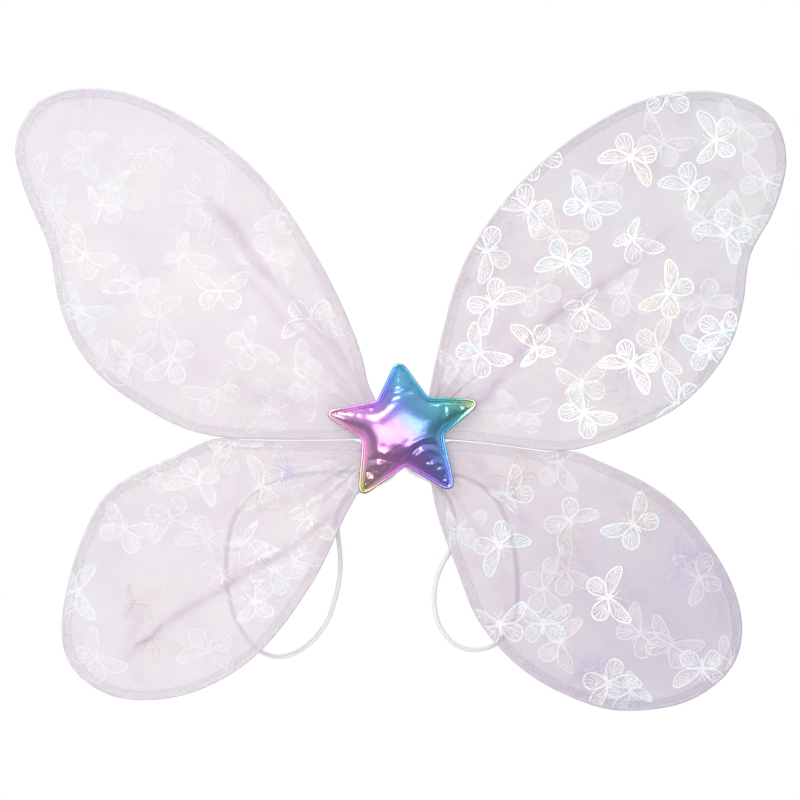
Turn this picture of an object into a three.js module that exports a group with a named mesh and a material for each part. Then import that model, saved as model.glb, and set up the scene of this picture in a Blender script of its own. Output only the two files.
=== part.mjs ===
// Fairy wings: two pairs of wire-framed organza wings that bend out from a small sewn hub. The hub
// carries a padded star in front, a felt patch behind, and two elastic shoulder straps.
// Millimetres. +Z is up, +X is to the right, and +Y points at the wearer's back. The origin is the
// centre of the back patch's outer face, which is what a wearer or a display card holds.
import * as THREE from 'three';

// ---- driving dimensions ----------------------------------------------------------------------
const WING_SPAN = 480; // tip to tip, across
const WING_HEIGHT = 386; // top of the upper wings to bottom of the lower wings
const TIP_BOW = 14; // how far the wing tips curl away from the wearer
const BOW_START = 50; // distance from the middle where that curl begins
const WIRE_DIAMETER = 1.8; // white coated steel wire
const SHEET_THICKNESS = 0.3; // one layer of organza, with its print
const HEM_WIDTH = 4.5; // seam allowance turned in along the wire
const HEM_THICKNESS = 1.5;
const STRAP_DIAMETER = 3; // round covered elastic
const HUB_WIDTH = 30;
const HUB_HEIGHT = 40;
const HUB_CORNER = 13;
const BACK_PATCH_THICKNESS = 1.2;
const CORE_THICKNESS = 1;
const CORE_INSET = 1.5; // how much smaller the stiffener is than the patches, all round
const FRONT_PAD_THICKNESS = 3;
const STAR_WIDTH = 94;
const STAR_HEIGHT = 83;
const STAR_NOTCH_DEPTH = 0.5; // how far in the notches lie, as a share of the way to a tip
const STAR_TILT = 3.5; // degrees, anticlockwise
const STAR_BACK_THICKNESS = 1;
const STAR_COVER_THICKNESS = 0.8;
const STAR_RIM_WIDTH = 2.5; // flat welded edge
const STAR_RISE = 12; // height of the stuffed dome over its rim
const STAR_TIP_ROUND = 5;
const STAR_NOTCH_ROUND = 4;
const TIP_ROUNDING = 2.6; // length that the rounding takes off a sharp tip

// ---- clearances and fineness -----------------------------------------------------------------
const GAP = 0.3; // between pieces that lie against each other
const HINGE_MARGIN = 2; // the bend line lies this far outside the hub
const BEND_GAP = 0.9; // from the bend line to each cut end of a wire
const PARTING_GAP = 0.9; // between the sheets of an upper and a lower wing
const WING_STEPS = 54; // stations round each wing
const WIRE_SIDES = 8;
const STRAP_SIDES = 8;
const STRAP_STEPS = 60;

// ---- places that follow from them, from the back patch forwards --------------------------------
const bendX = HUB_WIDTH / 2 + HINGE_MARGIN;
const strapY = -(BACK_PATCH_THICKNESS + GAP + STRAP_DIAMETER / 2);
const coreBackY = strapY - STRAP_DIAMETER / 2 - GAP;
const wireY = coreBackY - CORE_THICKNESS - GAP - WIRE_DIAMETER / 2;
const frontPadBackY = wireY - WIRE_DIAMETER / 2 - GAP;
const starBackY = frontPadBackY - FRONT_PAD_THICKNESS - GAP;
const starCoverY = starBackY - STAR_BACK_THICKNESS - GAP;
const sheetOffset = WIRE_DIAMETER / 2 + GAP + SHEET_THICKNESS / 2;
const sheetLap = WIRE_DIAMETER / 2 + 0.2; // how far a sheet reaches past the wire's centre line
const partingStep = 2 * sheetLap + PARTING_GAP; // between the wire lines of an upper and a lower wing

// ---- materials ---------------------------------------------------------------------------------
const finish = (color, roughness, metalness = 0) =>
  new THREE.MeshStandardMaterial({ color, roughness, metalness });
const coatedWire = finish(0xf2eff2, 0.45);
const organzaFront = finish(0xece4ee, 0.5);
const organzaBack = finish(0xe4dcec, 0.5);
const hemCloth = finish(0xe3d3e2, 0.7);
const gatherCloth = finish(0xe6d9e8, 0.7);
const felt = finish(0xf4f2f5, 0.95);
const board = finish(0xd9d6d2, 0.8);
const elastic = finish(0xf7f7f8, 0.7);
const starFoil = finish(0xa06ad0, 0.25, 0.9);
const stuffing = finish(0xf5f5f0, 0.95);

const model = new THREE.Group();

function add(name, geometry, material) {
  const mesh = new THREE.Mesh(geometry, material);
  mesh.name = name;
  model.add(mesh);
}

// ---- shared geometry ---------------------------------------------------------------------------

// A closed skin over rings of points, with one pole closing each end.
function loft(poleA, rings, poleB) {
  const count = rings[0].length;
  const points = [poleA, ...rings.flat(), poleB];
  const last = points.length - 1;
  const faces = [];
  for (let k = 0; k < count; k++) {
    const next = (k + 1) % count;
    faces.push([0, 1 + next, 1 + k]);
    for (let r = 0; r < rings.length - 1; r++) {
      const a = 1 + r * count;
      const b = a + count;
      faces.push([a + k, a + next, b + next], [a + k, b + next, b + k]);
    }
    const end = 1 + (rings.length - 1) * count;
    faces.push([last, end + k, end + next]);
  }
  const volume = faces.reduce(
    (sum, [a, b, c]) => sum + points[a].dot(points[b].clone().cross(points[c])),
    0,
  );
  const outward = volume > 0 ? faces : faces.map(([a, b, c]) => [a, c, b]);
  const geometry = new THREE.BufferGeometry().setFromPoints(points);
  geometry.setIndex(outward.flat());
  return geometry;
}

// A round bar along a curve.
function bar(curve, diameter, sides, steps) {
  const section = new THREE.Shape();
  section.setFromPoints(
    Array.from({ length: sides }, (_, k) => {
      const angle = (2 * Math.PI * k) / sides;
      return new THREE.Vector2(Math.cos(angle), Math.sin(angle)).multiplyScalar(diameter / 2);
    }),
  );
  return new THREE.ExtrudeGeometry(section, { steps, extrudePath: curve, bevelEnabled: false });
}

// A flat plate standing in the XZ plane, whose back face lies at backY.
function plate(shape, thickness, backY) {
  const geometry = new THREE.ExtrudeGeometry(shape, {
    depth: thickness,
    bevelEnabled: false,
    curveSegments: 6,
  });
  return geometry.rotateX(Math.PI / 2).translate(0, backY, 0);
}

// A polygon whose corners are rounded off, cut back along both sides by each corner's amount.
function roundedPolygon(corners, cuts) {
  const shape = new THREE.Shape();
  corners.forEach((corner, k) => {
    const before = corners[(k + corners.length - 1) % corners.length];
    const after = corners[(k + 1) % corners.length];
    const enter = before.clone().sub(corner).setLength(cuts[k]).add(corner);
    const leave = after.clone().sub(corner).setLength(cuts[k]).add(corner);
    if (k === 0) shape.moveTo(enter.x, enter.y);
    else shape.lineTo(enter.x, enter.y);
    shape.quadraticCurveTo(corner.x, corner.y, leave.x, leave.y);
  });
  shape.closePath();
  return shape;
}

// ---- wings -------------------------------------------------------------------------------------

// The wing outlines are drawn once, at pattern size, and graded to the span and height wanted.
// Each point is [distance outside the bend line, height]. The parting edge is where an upper and a
// lower wing lie side by side; each outline is the rest, from one end of that edge to the hub.
const PATTERN_REACH = 224;
const PATTERN_HEIGHT = 386;
const patterns = {
  left: {
    parting: [[16, -3.3], [38, -3.6], [60, -3.6], [80, -3.1], [98, -1.8]],
    upper: [
      [3, 22.5], [11, 53], [35, 105], [75, 162], [123, 197], [171, 213], [208, 205.5], [223, 179],
      [217, 150], [202, 114], [197, 85], [187, 57], [168, 33], [123, 5],
    ],
    lower: [
      [109, -8.4], [123, -15.4], [155, -30], [169, -42], [181, -64.5], [190, -92], [194.5, -122],
      [191, -141], [181, -153.5], [165, -163], [140, -166], [109, -159.5], [74.5, -138], [40, -93.5],
      [18.5, -50], [10, -35],
    ],
  },
  right: {
    parting: [[20, -4], [40, -6], [58, -8.4], [74, -10.4], [90, -10]],
    upper: [
      [1.2, 24], [7.4, 53], [23, 105], [54, 150.5], [97, 187], [141, 208], [182, 210.5], [212, 197],
      [221.7, 172], [215, 140], [199.5, 110], [195, 80], [186, 52], [161, 21], [126, 1.5],
    ],
    lower: [
      [108, -20], [133, -31.5], [155, -47], [173, -69], [186, -90], [193.5, -112], [194, -130],
      [188, -146], [175, -159], [158, -168], [133, -172.5], [108, -171], [68, -153.5], [43, -132],
      [29, -112], [19, -86], [10.6, -64.5], [5, -46], [2.6, -33],
    ],
  },
};

// Where each wing's wire crosses the bend line: a height as a share of the hub's, and the
// direction in which the wire leaves the hub there.
const crossings = {
  upper: {
    outer: { height: 0.46 * HUB_HEIGHT, direction: [0.35, 0.94] },
    inner: { height: -3, direction: [1, 0] },
  },
  lower: {
    inner: { height: -3 - partingStep, direction: [1, 0] },
    outer: { height: -0.42 * HUB_HEIGHT, direction: [0.4, -0.92] },
  },
};

// The wings lie in a flat sheet near the hub and curl away from the wearer towards their tips.
const bowAt = (x) => {
  const past = Math.max(0, Math.abs(x) - BOW_START) / (WING_SPAN / 2 - BOW_START);
  return -TIP_BOW * past * past;
};

const inWing = (flat, offset = 0) =>
  new THREE.Vector3(flat.x, wireY + bowAt(flat.x) + offset, flat.y);

function wingPattern(sideName, tier) {
  const side = sideName === 'left' ? -1 : 1;
  const across = (WING_SPAN / 2 - bendX) / PATTERN_REACH;
  const upwards = WING_HEIGHT / PATTERN_HEIGHT;
  const drop = tier === 'upper' ? 0 : partingStep;
  const graded = ([x, z]) => new THREE.Vector2(side * (bendX + x * across), z * upwards);
  const parting = patterns[sideName].parting.map(([x, z]) => {
    const point = graded([x, z]);
    point.y -= drop;
    return point;
  });
  const free = patterns[sideName][tier].map(graded);
  const { outer, inner } = crossings[tier];
  const crossing = ({ height, direction: [dx, dz] }) => ({
    at: new THREE.Vector2(side * bendX, height),
    out: new THREE.Vector2(side * dx, dz).normalize(),
  });
  const route = tier === 'upper' ? [...free, ...parting.reverse()] : [...parting, ...free];
  const ends = tier === 'upper' ? [outer, inner] : [inner, outer];
  return { side, route, ends: ends.map(crossing) };
}

// The stations round a wing: the wire's line, and the flat direction pointing out of the wing.
function wingStations({ route, ends }) {
  const [first, last] = ends.map(({ at, out }) => out.clone().multiplyScalar(BEND_GAP).add(at));
  const flat = [first, ...route, last].map((p) => inWing(p));
  const curve = new THREE.CatmullRomCurve3(flat, false, 'centripetal');
  const line = curve.getSpacedPoints(WING_STEPS).map((p) => new THREE.Vector2(p.x, p.z));
  const middle = line.reduce((sum, p) => sum.add(p), new THREE.Vector2()).divideScalar(line.length);
  const outward = line.map((p, k) => {
    const along = line[Math.min(k + 1, WING_STEPS)].clone().sub(line[Math.max(k - 1, 0)]);
    return new THREE.Vector2(along.y, -along.x).normalize();
  });
  const turn = outward[WING_STEPS / 2].dot(line[WING_STEPS / 2].clone().sub(middle)) < 0 ? -1 : 1;
  const moved = (k, distance) => outward[k].clone().multiplyScalar(turn * distance).add(line[k]);
  return { curve, middle, moved };
}

// One layer of organza over one face of the wing. Its rings shrink towards the middle.
function sheetGeometry({ middle, moved }, faceSign) {
  const edge = [];
  for (let k = 1; k < WING_STEPS; k++) edge.push(moved(k, sheetLap));
  const rootPoints = 3;
  for (let k = 1; k <= rootPoints; k++) {
    const share = k / (rootPoints + 1);
    edge.push(moved(WING_STEPS - 1, sheetLap).lerp(moved(1, sheetLap), share));
  }
  const shrink = [0.7, 0.35, 0];
  const level = faceSign * sheetOffset;
  const skin = (half) =>
    shrink.map((share) => edge.map((p) => inWing(p.clone().lerp(middle, share), level + half)));
  const near = SHEET_THICKNESS / 2;
  return loft(
    inWing(middle, level - near),
    [...skin(-near), ...skin(near).reverse()],
    inWing(middle, level + near),
  );
}

// The turned-in seam allowance: a flat band just inside the wire, between the two layers.
function hemGeometry({ moved }) {
  const outerEdge = -(WIRE_DIAMETER / 2 + GAP);
  const innerEdge = outerEdge - HEM_WIDTH;
  const half = HEM_THICKNESS / 2;
  const section = (k) => [
    inWing(moved(k, outerEdge), half),
    inWing(moved(k, innerEdge), half),
    inWing(moved(k, innerEdge), -half),
    inWing(moved(k, outerEdge), -half),
  ];
  const rings = [];
  for (let k = 2; k <= WING_STEPS - 2; k++) rings.push(section(k));
  const middleOf = (ring) => ring[0].clone().lerp(ring[2], 0.5);
  return loft(middleOf(rings[0]), rings, middleOf(rings[rings.length - 1]));
}

// The gathered cloth at the root, bound flat between the two ends of the wire.
function gatherGeometry({ moved }, ends) {
  const inset = -(WIRE_DIAMETER / 2 + 2 * GAP);
  const near = ends.map(({ at, out }, k) => {
    const start = moved(k * WING_STEPS, inset);
    return start.add(out.clone().multiplyScalar(GAP));
  });
  const far = [moved(1, inset), moved(WING_STEPS - 1, inset)];
  const corners = [near[0], far[0], far[1], near[1]];
  const half = HEM_THICKNESS / 2;
  const front = corners.map((p) => inWing(p, -half));
  const back = corners.map((p) => inWing(p, half));
  const middle = corners.reduce((sum, p) => sum.add(p), new THREE.Vector2()).divideScalar(4);
  return loft(inWing(middle, -half), [front, back], inWing(middle, half));
}

// The part of a wire loop that is clamped inside the hub: a U between its two bend points.
function wireRootGeometry({ side, ends }) {
  const [a, b] = ends;
  const inside = ({ at, out }, distance) => out.clone().multiplyScalar(-distance).add(at);
  const turnX = side * HUB_WIDTH * 0.17;
  const flat = [
    inside(a, BEND_GAP),
    inside(a, HUB_WIDTH * 0.14),
    new THREE.Vector2(turnX, a.at.y * 0.62 + b.at.y * 0.2),
    new THREE.Vector2(turnX, b.at.y * 0.62 + a.at.y * 0.2),
    inside(b, HUB_WIDTH * 0.14),
    inside(b, BEND_GAP),
  ];
  const curve = new THREE.CatmullRomCurve3(flat.map((p) => inWing(p)), false, 'centripetal');
  return bar(curve, WIRE_DIAMETER, WIRE_SIDES, 16);
}

for (const sideName of ['left', 'right']) {
  for (const tier of ['upper', 'lower']) {
    const wing = `${tier}_${sideName}`;
    const pattern = wingPattern(sideName, tier);
    const stations = wingStations(pattern);
    add(`${wing}_wire`, bar(stations.curve, WIRE_DIAMETER, WIRE_SIDES, WING_STEPS), coatedWire);
    add(`${wing}_wire_root`, wireRootGeometry(pattern), coatedWire);
    add(`${wing}_front_organza`, sheetGeometry(stations, -1), organzaFront);
    add(`${wing}_back_organza`, sheetGeometry(stations, 1), organzaBack);
    add(`${wing}_hem`, hemGeometry(stations), hemCloth);
    add(`${wing}_gather`, gatherGeometry(stations, pattern.ends), gatherCloth);
  }
}

// ---- hub: felt patch, stiffener and foam pad, stacked ------------------------------------------
function hubShape(inset) {
  const x = HUB_WIDTH / 2 - inset;
  const z = HUB_HEIGHT / 2 - inset;
  const corners = [[x, z], [-x, z], [-x, -z], [x, -z]].map(([cx, cz]) => new THREE.Vector2(cx, cz));
  return roundedPolygon(corners, corners.map(() => HUB_CORNER));
}
add('back_patch', plate(hubShape(0), BACK_PATCH_THICKNESS, 0), felt);
add('core_plate', plate(hubShape(CORE_INSET), CORE_THICKNESS, coreBackY), board);
add('front_pad', plate(hubShape(0), FRONT_PAD_THICKNESS, frontPadBackY), felt);

// ---- star: flat back, stuffing and domed cover --------------------------------------------------
function starShape(inset) {
  // A regular star with tips at radius 1 is 1.90 wide and 1.81 tall.
  const tipX = STAR_WIDTH / 1.9;
  const tipZ = STAR_HEIGHT / 1.81;
  const corners = [];
  const cuts = [];
  for (let k = 0; k < 10; k++) {
    const isTip = k % 2 === 0;
    const angle = THREE.MathUtils.degToRad(90 + STAR_TILT + 36 * k);
    const share = isTip ? 1 : STAR_NOTCH_DEPTH;
    const cutIn = isTip ? 1.9 * inset - TIP_ROUNDING : 1.1 * inset;
    corners.push(
      new THREE.Vector2(
        Math.cos(angle) * (tipX * share - cutIn),
        Math.sin(angle) * (tipZ * share - cutIn),
      ),
    );
    cuts.push(isTip ? STAR_TIP_ROUND : STAR_NOTCH_ROUND);
  }
  return roundedPolygon(corners, cuts);
}

function starRing(inset, scale, y) {
  return starShape(inset)
    .getPoints(4)
    .slice(0, -1)
    .map((p) => new THREE.Vector3(p.x * scale, y, p.y * scale));
}

// Rings of a dome standing on the plane y = baseY, on an outline inset from the star's edge.
function domeRings(inset, rise, baseY) {
  const scales = [0.3, 0.55, 0.78, 0.93, 1];
  return scales.map((s) => starRing(inset, s, baseY - rise * Math.sqrt(1 - s ** 2.4)));
}

function starCoverGeometry() {
  const backY = starCoverY;
  const frontY = starCoverY - STAR_COVER_THICKNESS;
  const outside = domeRings(STAR_RIM_WIDTH, STAR_RISE, frontY);
  const liningInset = STAR_RIM_WIDTH + STAR_COVER_THICKNESS;
  const inside = domeRings(liningInset, STAR_RISE, backY).reverse();
  const rim = [starRing(0, 1, frontY), starRing(0, 1, backY)];
  return loft(
    new THREE.Vector3(0, frontY - STAR_RISE, 0),
    [...outside, ...rim, ...inside],
    new THREE.Vector3(0, backY - STAR_RISE, 0),
  );
}

function starStuffingGeometry() {
  const inset = STAR_RIM_WIDTH + STAR_COVER_THICKNESS + 2 * GAP;
  const rise = STAR_RISE - 2 * GAP;
  const rings = domeRings(inset, rise, starCoverY);
  return loft(
    new THREE.Vector3(0, starCoverY - rise, 0),
    rings,
    new THREE.Vector3(0, starCoverY, 0),
  );
}

add('star_back', plate(starShape(0), STAR_BACK_THICKNESS, starBackY), felt);
add('star_stuffing', starStuffingGeometry(), stuffing);
add('star_cover', starCoverGeometry(), starFoil);

// ---- straps: one closed loop of elastic on each side, its top clamped in the hub ----------------
// Each free loop leaves the hub's lower edge, hangs behind the lower wing and comes back to it.
const strapExits = { inner: { x: 4, z: -20.8 }, outer: { x: 9.5, z: -19 } };
const strapRoutes = {
  left: [
    [-4, strapY, -23], [-7, -2.6, -28], [-15, -1, -32.5], [-26, 2.5, -36.5], [-36, 6, -43.5],
    [-41, 7.8, -53], [-40.3, 8, -64], [-39, 8.5, -76], [-39, 9, -90], [-42, 10.5, -105],
    [-47, 12.5, -119], [-56.5, 16, -132], [-68, 20, -140], [-79, 24, -142.5], [-90, 27.5, -139],
    [-99, 30, -130], [-107, 32, -115], [-111, 32.5, -96], [-111, 32, -75], [-106.5, 30, -55],
    [-95, 25.5, -40], [-77, 19, -30.5], [-57, 12, -26], [-37, 5, -25], [-21, 0, -25],
    [-13, -2.2, -24.2], [-9.6, strapY, -21.5],
  ],
  right: [
    [4, strapY, -22.2], [5.3, -2.9, -24.3], [8.4, -2.6, -26.1], [12.8, -2, -27.9],
    [18, -1, -30.7], [24, 0.8, -35.4], [29.5, 2.8, -42.5], [33, 4.5, -52],
    [34.5, 5.5, -63], [30.7, 5.2, -74], [25, 4, -84], [21.3, 3.2, -94], [20.2, 3, -105.5],
    [22, 3.4, -117.5], [26.5, 4.4, -126.5], [34, 6.6, -134], [42.5, 9.4, -137],
    [51.5, 12.4, -136.6], [60.5, 15.6, -133], [68, 18, -125.5], [72, 19.4, -112],
    [73, 19.6, -95], [71.4, 19, -78], [67, 17, -59], [58.5, 13.5, -42], [45, 8.3, -31],
    [31, 3, -26.6], [19.5, -0.7, -25], [12.8, -2.2, -24.2], [9.6, strapY, -21.5],
  ],
};

for (const [sideName, route] of Object.entries(strapRoutes)) {
  const side = sideName === 'left' ? -1 : 1;
  const { inner, outer } = strapExits;
  const start = [side * inner.x, strapY, inner.z];
  const end = [side * outer.x, strapY, outer.z];
  const loop = [start, ...route, end].map((p) => new THREE.Vector3(...p));
  const freeCurve = new THREE.CatmullRomCurve3(loop, false, 'centripetal');
  add(`${sideName}_strap`, bar(freeCurve, STRAP_DIAMETER, STRAP_SIDES, STRAP_STEPS), elastic);

  const turnX = (inner.x + outer.x) / 2;
  const clamped = [
    [inner.x, inner.z + GAP], [inner.x, -18], [inner.x, -10], [turnX, -6], [outer.x, -10],
    [outer.x, -16], [outer.x, outer.z + GAP],
  ].map(([x, z]) => new THREE.Vector3(side * x, strapY, z));
  const rootCurve = new THREE.CatmullRomCurve3(clamped, false, 'centripetal');
  add(`${sideName}_strap_root`, bar(rootCurve, STRAP_DIAMETER, STRAP_SIDES, 18), elastic);
}

export default model;
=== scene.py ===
import math

import bpy
import numpy as np
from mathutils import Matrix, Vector
from mathutils.bvhtree import BVHTree
from mathutils.geometry import delaunay_2d_cdt


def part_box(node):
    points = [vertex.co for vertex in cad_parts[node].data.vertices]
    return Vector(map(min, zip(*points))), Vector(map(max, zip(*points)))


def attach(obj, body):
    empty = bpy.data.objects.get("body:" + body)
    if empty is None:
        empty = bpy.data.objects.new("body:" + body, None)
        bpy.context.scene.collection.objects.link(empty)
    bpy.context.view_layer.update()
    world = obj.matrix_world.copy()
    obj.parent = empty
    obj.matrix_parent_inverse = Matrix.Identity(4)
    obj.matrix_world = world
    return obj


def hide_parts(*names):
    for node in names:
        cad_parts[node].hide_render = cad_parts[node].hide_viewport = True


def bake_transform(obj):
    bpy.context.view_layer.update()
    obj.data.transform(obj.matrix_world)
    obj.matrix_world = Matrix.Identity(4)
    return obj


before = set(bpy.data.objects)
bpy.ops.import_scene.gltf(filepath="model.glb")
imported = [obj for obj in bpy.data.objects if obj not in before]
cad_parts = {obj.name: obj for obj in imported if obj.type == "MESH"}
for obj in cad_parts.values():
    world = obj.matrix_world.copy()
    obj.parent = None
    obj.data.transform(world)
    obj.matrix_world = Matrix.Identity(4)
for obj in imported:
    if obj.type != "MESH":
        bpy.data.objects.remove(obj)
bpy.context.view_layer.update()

MM = 0.001

# ---- camera, lights and floor --------------------------------------------------------------------
# The wings hang upright in a white studio and are seen square on from the star's side, through a
# long lens. The white surround shines through the sheer cloth, and soft boxes light the folds.
VIEW_DISTANCE = 2.5
VIEW_WIDTH = 0.5013            # how much of the wings' plane the picture takes in
SENSOR_WIDTH = 36.0
camera_data = bpy.data.cameras.new("studio_camera")
camera_data.sensor_width = SENSOR_WIDTH
camera_data.lens = SENSOR_WIDTH * VIEW_DISTANCE / VIEW_WIDTH
camera = bpy.data.objects.new("studio_camera", camera_data)
camera.location = (-1.2 * MM, -VIEW_DISTANCE, 20 * MM)
camera.rotation_euler = (math.radians(90), 0, 0)
bpy.context.scene.collection.objects.link(camera)
bpy.context.scene.camera = camera
bpy.context.scene.view_settings.view_transform = "Standard"


def soft_box(name, place, width, height, power):
    light = bpy.data.lights.new(name, "AREA")
    light.shape = "RECTANGLE"
    light.size = width
    light.size_y = height
    light.energy = power
    box = bpy.data.objects.new(name, light)
    box.location = place
    box.rotation_euler = (-Vector(place)).to_track_quat("-Z", "Y").to_euler()
    box.visible_camera = False
    bpy.context.scene.collection.objects.link(box)


soft_box("front_box", (-0.4, -3.3, -0.20), 4.4, 1.1, 46)
soft_box("key_box", (-1.0, -1.6, 1.5), 0.9, 0.9, 20)
soft_box("top_box", (0.1, 0.6, 1.7), 1.0, 1.0, 12)


def add_node(tree, kind, values=None, **settings):
    """A new shader node with these settings, and these values on its own inputs."""
    node = tree.nodes.new(f"ShaderNode{kind}")
    for setting, choice in settings.items():
        setattr(node, setting, choice)
    for socket, value in (values or {}).items():
        node.inputs[socket].default_value = value
    return node


def connect(tree, *wires):
    """Join nodes: each wire is a node and its output, and the node and the input that it feeds."""
    for source, output, target, entry in wires:
        tree.links.new(source.outputs[output], target.inputs[entry])


def new_finish(name, values):
    """A new material, its tree of nodes and its surface, with these values on the surface."""
    material = bpy.data.materials.new(name)
    material.use_nodes = True
    skin = material.node_tree.nodes["Principled BSDF"]
    for socket, value in values.items():
        skin.inputs[socket].default_value = value
    return material, material.node_tree, skin


surround = bpy.data.worlds.new("white_surround")
bpy.context.scene.world = surround
surround.use_nodes = True
tree = surround.node_tree
tree.nodes.clear()
seen = add_node(tree, "Background", {"Color": (1, 1, 1, 1)})
lit = add_node(tree, "Background", {"Strength": 0.85})
height = add_node(tree, "TexCoord")
split = add_node(tree, "SeparateXYZ")
sky = add_node(tree, "ValToRGB")
for place, grey in ((0.0, 0.3), (0.3, 0.32), (0.44, 0.4), (0.55, 0.6), (0.8, 0.85)):
    stop = sky.color_ramp.elements.new(place)
    stop.color = (grey, grey, grey * 1.01, 1)
sky.color_ramp.elements.remove(sky.color_ramp.elements[0])
scale = add_node(tree, "Math", {1: 0.5, 2: 0.5}, operation="MULTIPLY_ADD")
rays = add_node(tree, "LightPath")
pick = add_node(tree, "MixShader")
out = add_node(tree, "OutputWorld")
connect(tree, (height, "Generated", split, 0), (split, "Z", scale, 0), (scale, 0, sky, "Fac"),
        (sky, "Color", lit, "Color"), (rays, "Is Camera Ray", pick, "Fac"), (lit, 0, pick, 1),
        (seen, 0, pick, 2), (pick, 0, out, "Surface"))

FLOOR_DROP = 0.46
FLOOR_RADIUS = 1.2
corners = 96
floor_mesh = bpy.data.meshes.new("studio_floor")
rim = [(FLOOR_RADIUS * math.cos(2 * math.pi * k / corners),
        FLOOR_RADIUS * math.sin(2 * math.pi * k / corners), -FLOOR_DROP) for k in range(corners)]
floor_mesh.from_pydata(rim, [], [list(range(corners))])
floor = bpy.data.objects.new("studio_floor", floor_mesh)
bpy.context.scene.collection.objects.link(floor)
floor_paint, _, _ = new_finish("pale_floor", {"Base Color": (0.93, 0.93, 0.94, 1), "Roughness": 0.9})
floor_mesh.materials.append(floor_paint)
floor.visible_glossy = False


# ---- shoulder straps -----------------------------------------------------------------------------
# Two loops of round white elastic, 3 mm thick: rubber strands inside a braided polyester cover. Each
# is one closed loop whose top is clamped in the hub, and the rest hangs behind a lower wing.
STRAP_DIAMETER = 3 * MM
STRAP_DEPTH = -3.0             # the hub's slot for the elastic, behind the wires, in millimetres
strap_routes = {
    "left": [
        (-4, STRAP_DEPTH, -20.8), (-4, STRAP_DEPTH, -23), (-7, -2.6, -28), (-15, -1, -32.5),
        (-26, 2.5, -36.5), (-36, 6, -43.5), (-41, 7.8, -53), (-40.3, 8, -64), (-39, 8.5, -76),
        (-39, 9, -90), (-42, 10.5, -105), (-47, 12.5, -119), (-56.5, 16, -132), (-68, 20, -140),
        (-79, 24, -142.5), (-90, 27.5, -139), (-99, 30, -130), (-107, 32, -115), (-111, 32.5, -96),
        (-111, 32, -75), (-106.5, 30, -55), (-95, 25.5, -40), (-77, 19, -30.5), (-57, 12, -26),
        (-37, 5, -25), (-21, 0, -25), (-13, -2.2, -24.2), (-9.6, STRAP_DEPTH, -21.5),
        (-9.5, STRAP_DEPTH, -19)],
    "right": [
        (4, STRAP_DEPTH, -20.8), (4, STRAP_DEPTH, -22.2), (5.3, -2.9, -24.3), (8.4, -2.6, -26.1),
        (12.8, -2, -27.9), (18, -1, -30.7), (24, 0.8, -35.4), (29.5, 2.8, -42.5), (33, 4.5, -52),
        (34.5, 5.5, -63), (30.7, 5.2, -74), (25, 4, -84),
        (21.3, 3.2, -94), (20.2, 3, -105.5), (22, 3.4, -117.5), (26.5, 4.4, -126.5), (34, 6.6, -134),
        (42.5, 9.4, -137), (51.5, 12.4, -136.6), (60.5, 15.6, -133), (68, 18, -125.5),
        (72, 19.4, -112), (73, 19.6, -95), (71.4, 19, -78), (67, 17, -59), (58.5, 13.5, -42),
        (45, 8.3, -31), (31, 3, -26.6), (19.5, -0.7, -25), (12.8, -2.2, -24.2),
        (9.6, STRAP_DEPTH, -21.5), (9.5, STRAP_DEPTH, -19)],
}


def smooth_line(points, steps):
    """A smooth line through the points, with so many steps from each to the next."""
    p = np.asarray(points, float)
    p = np.vstack([2 * p[0] - p[1], p, 2 * p[-1] - p[-2]])
    knot = np.sqrt(np.linalg.norm(np.diff(p, axis=0), axis=1))
    made = [p[1]]
    for i in range(1, len(p) - 2):
        before, span, after = knot[i - 1], knot[i], knot[i + 1]
        lead_in = (p[i] - p[i - 1]) / before - (p[i + 1] - p[i - 1]) / (before + span)
        lead_in = (lead_in + (p[i + 1] - p[i]) / span) * span
        lead_out = (p[i + 1] - p[i]) / span - (p[i + 2] - p[i]) / (span + after)
        lead_out = (lead_out + (p[i + 2] - p[i + 1]) / after) * span
        for k in range(1, steps + 1):
            t = k / steps
            made.append((2 * t**3 - 3 * t**2 + 1) * p[i] + (t**3 - 2 * t**2 + t) * lead_in
                        + (3 * t**2 - 2 * t**3) * p[i + 1] + (t**3 - t**2) * lead_out)
    return np.array(made)


def colour_ramp(tree, stops):
    """Shades from one colour to the next; each stop is its place from 0 to 1 and its colour."""
    ramp = tree.nodes.new("ShaderNodeValToRGB")
    while len(ramp.color_ramp.elements) < len(stops):
        ramp.color_ramp.elements.new(1)
    for stop, (at, colour) in zip(ramp.color_ramp.elements, stops):
        stop.position = at
        stop.color = (*colour, 1)
    return ramp


def braided_elastic():
    """White braided cover: two sets of yarns crossing slantwise round the cord, with painted shade in the
    grooves between them.
    """
    material, tree, skin = new_finish("braided_elastic", {"Roughness": 0.72, "Sheen Weight": 0.3})
    place = add_node(tree, "TexCoord")
    ridges = []
    for slant in (38, -38):
        turn = add_node(tree, "Mapping", {"Rotation": (math.radians(slant), math.radians(slant), 0)})
        yarn = add_node(tree, "TexWave", {"Scale": 420, "Distortion": 0.6}, wave_profile="SIN")
        connect(tree, (place, "Object", turn, "Vector"), (turn, "Vector", yarn, "Vector"))
        ridges.append(yarn)
    cross = add_node(tree, "Math", operation="MAXIMUM")
    connect(tree, (ridges[0], "Fac", cross, 0), (ridges[1], "Fac", cross, 1))
    # painted shade: the grooves between the yarns are drawn darker than the ridges
    shade = colour_ramp(tree, ((0, (0.52, 0.54, 0.58)), (1, (0.80, 0.82, 0.84))))
    raised = add_node(tree, "Bump", {"Strength": 0.55, "Distance": 0.25 * MM})
    connect(tree, (cross, 0, shade, "Fac"), (shade, "Color", skin, "Base Color"),
            (cross, 0, raised, "Height"), (raised, "Normal", skin, "Normal"))
    return material


elastic_cover = braided_elastic()


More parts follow.
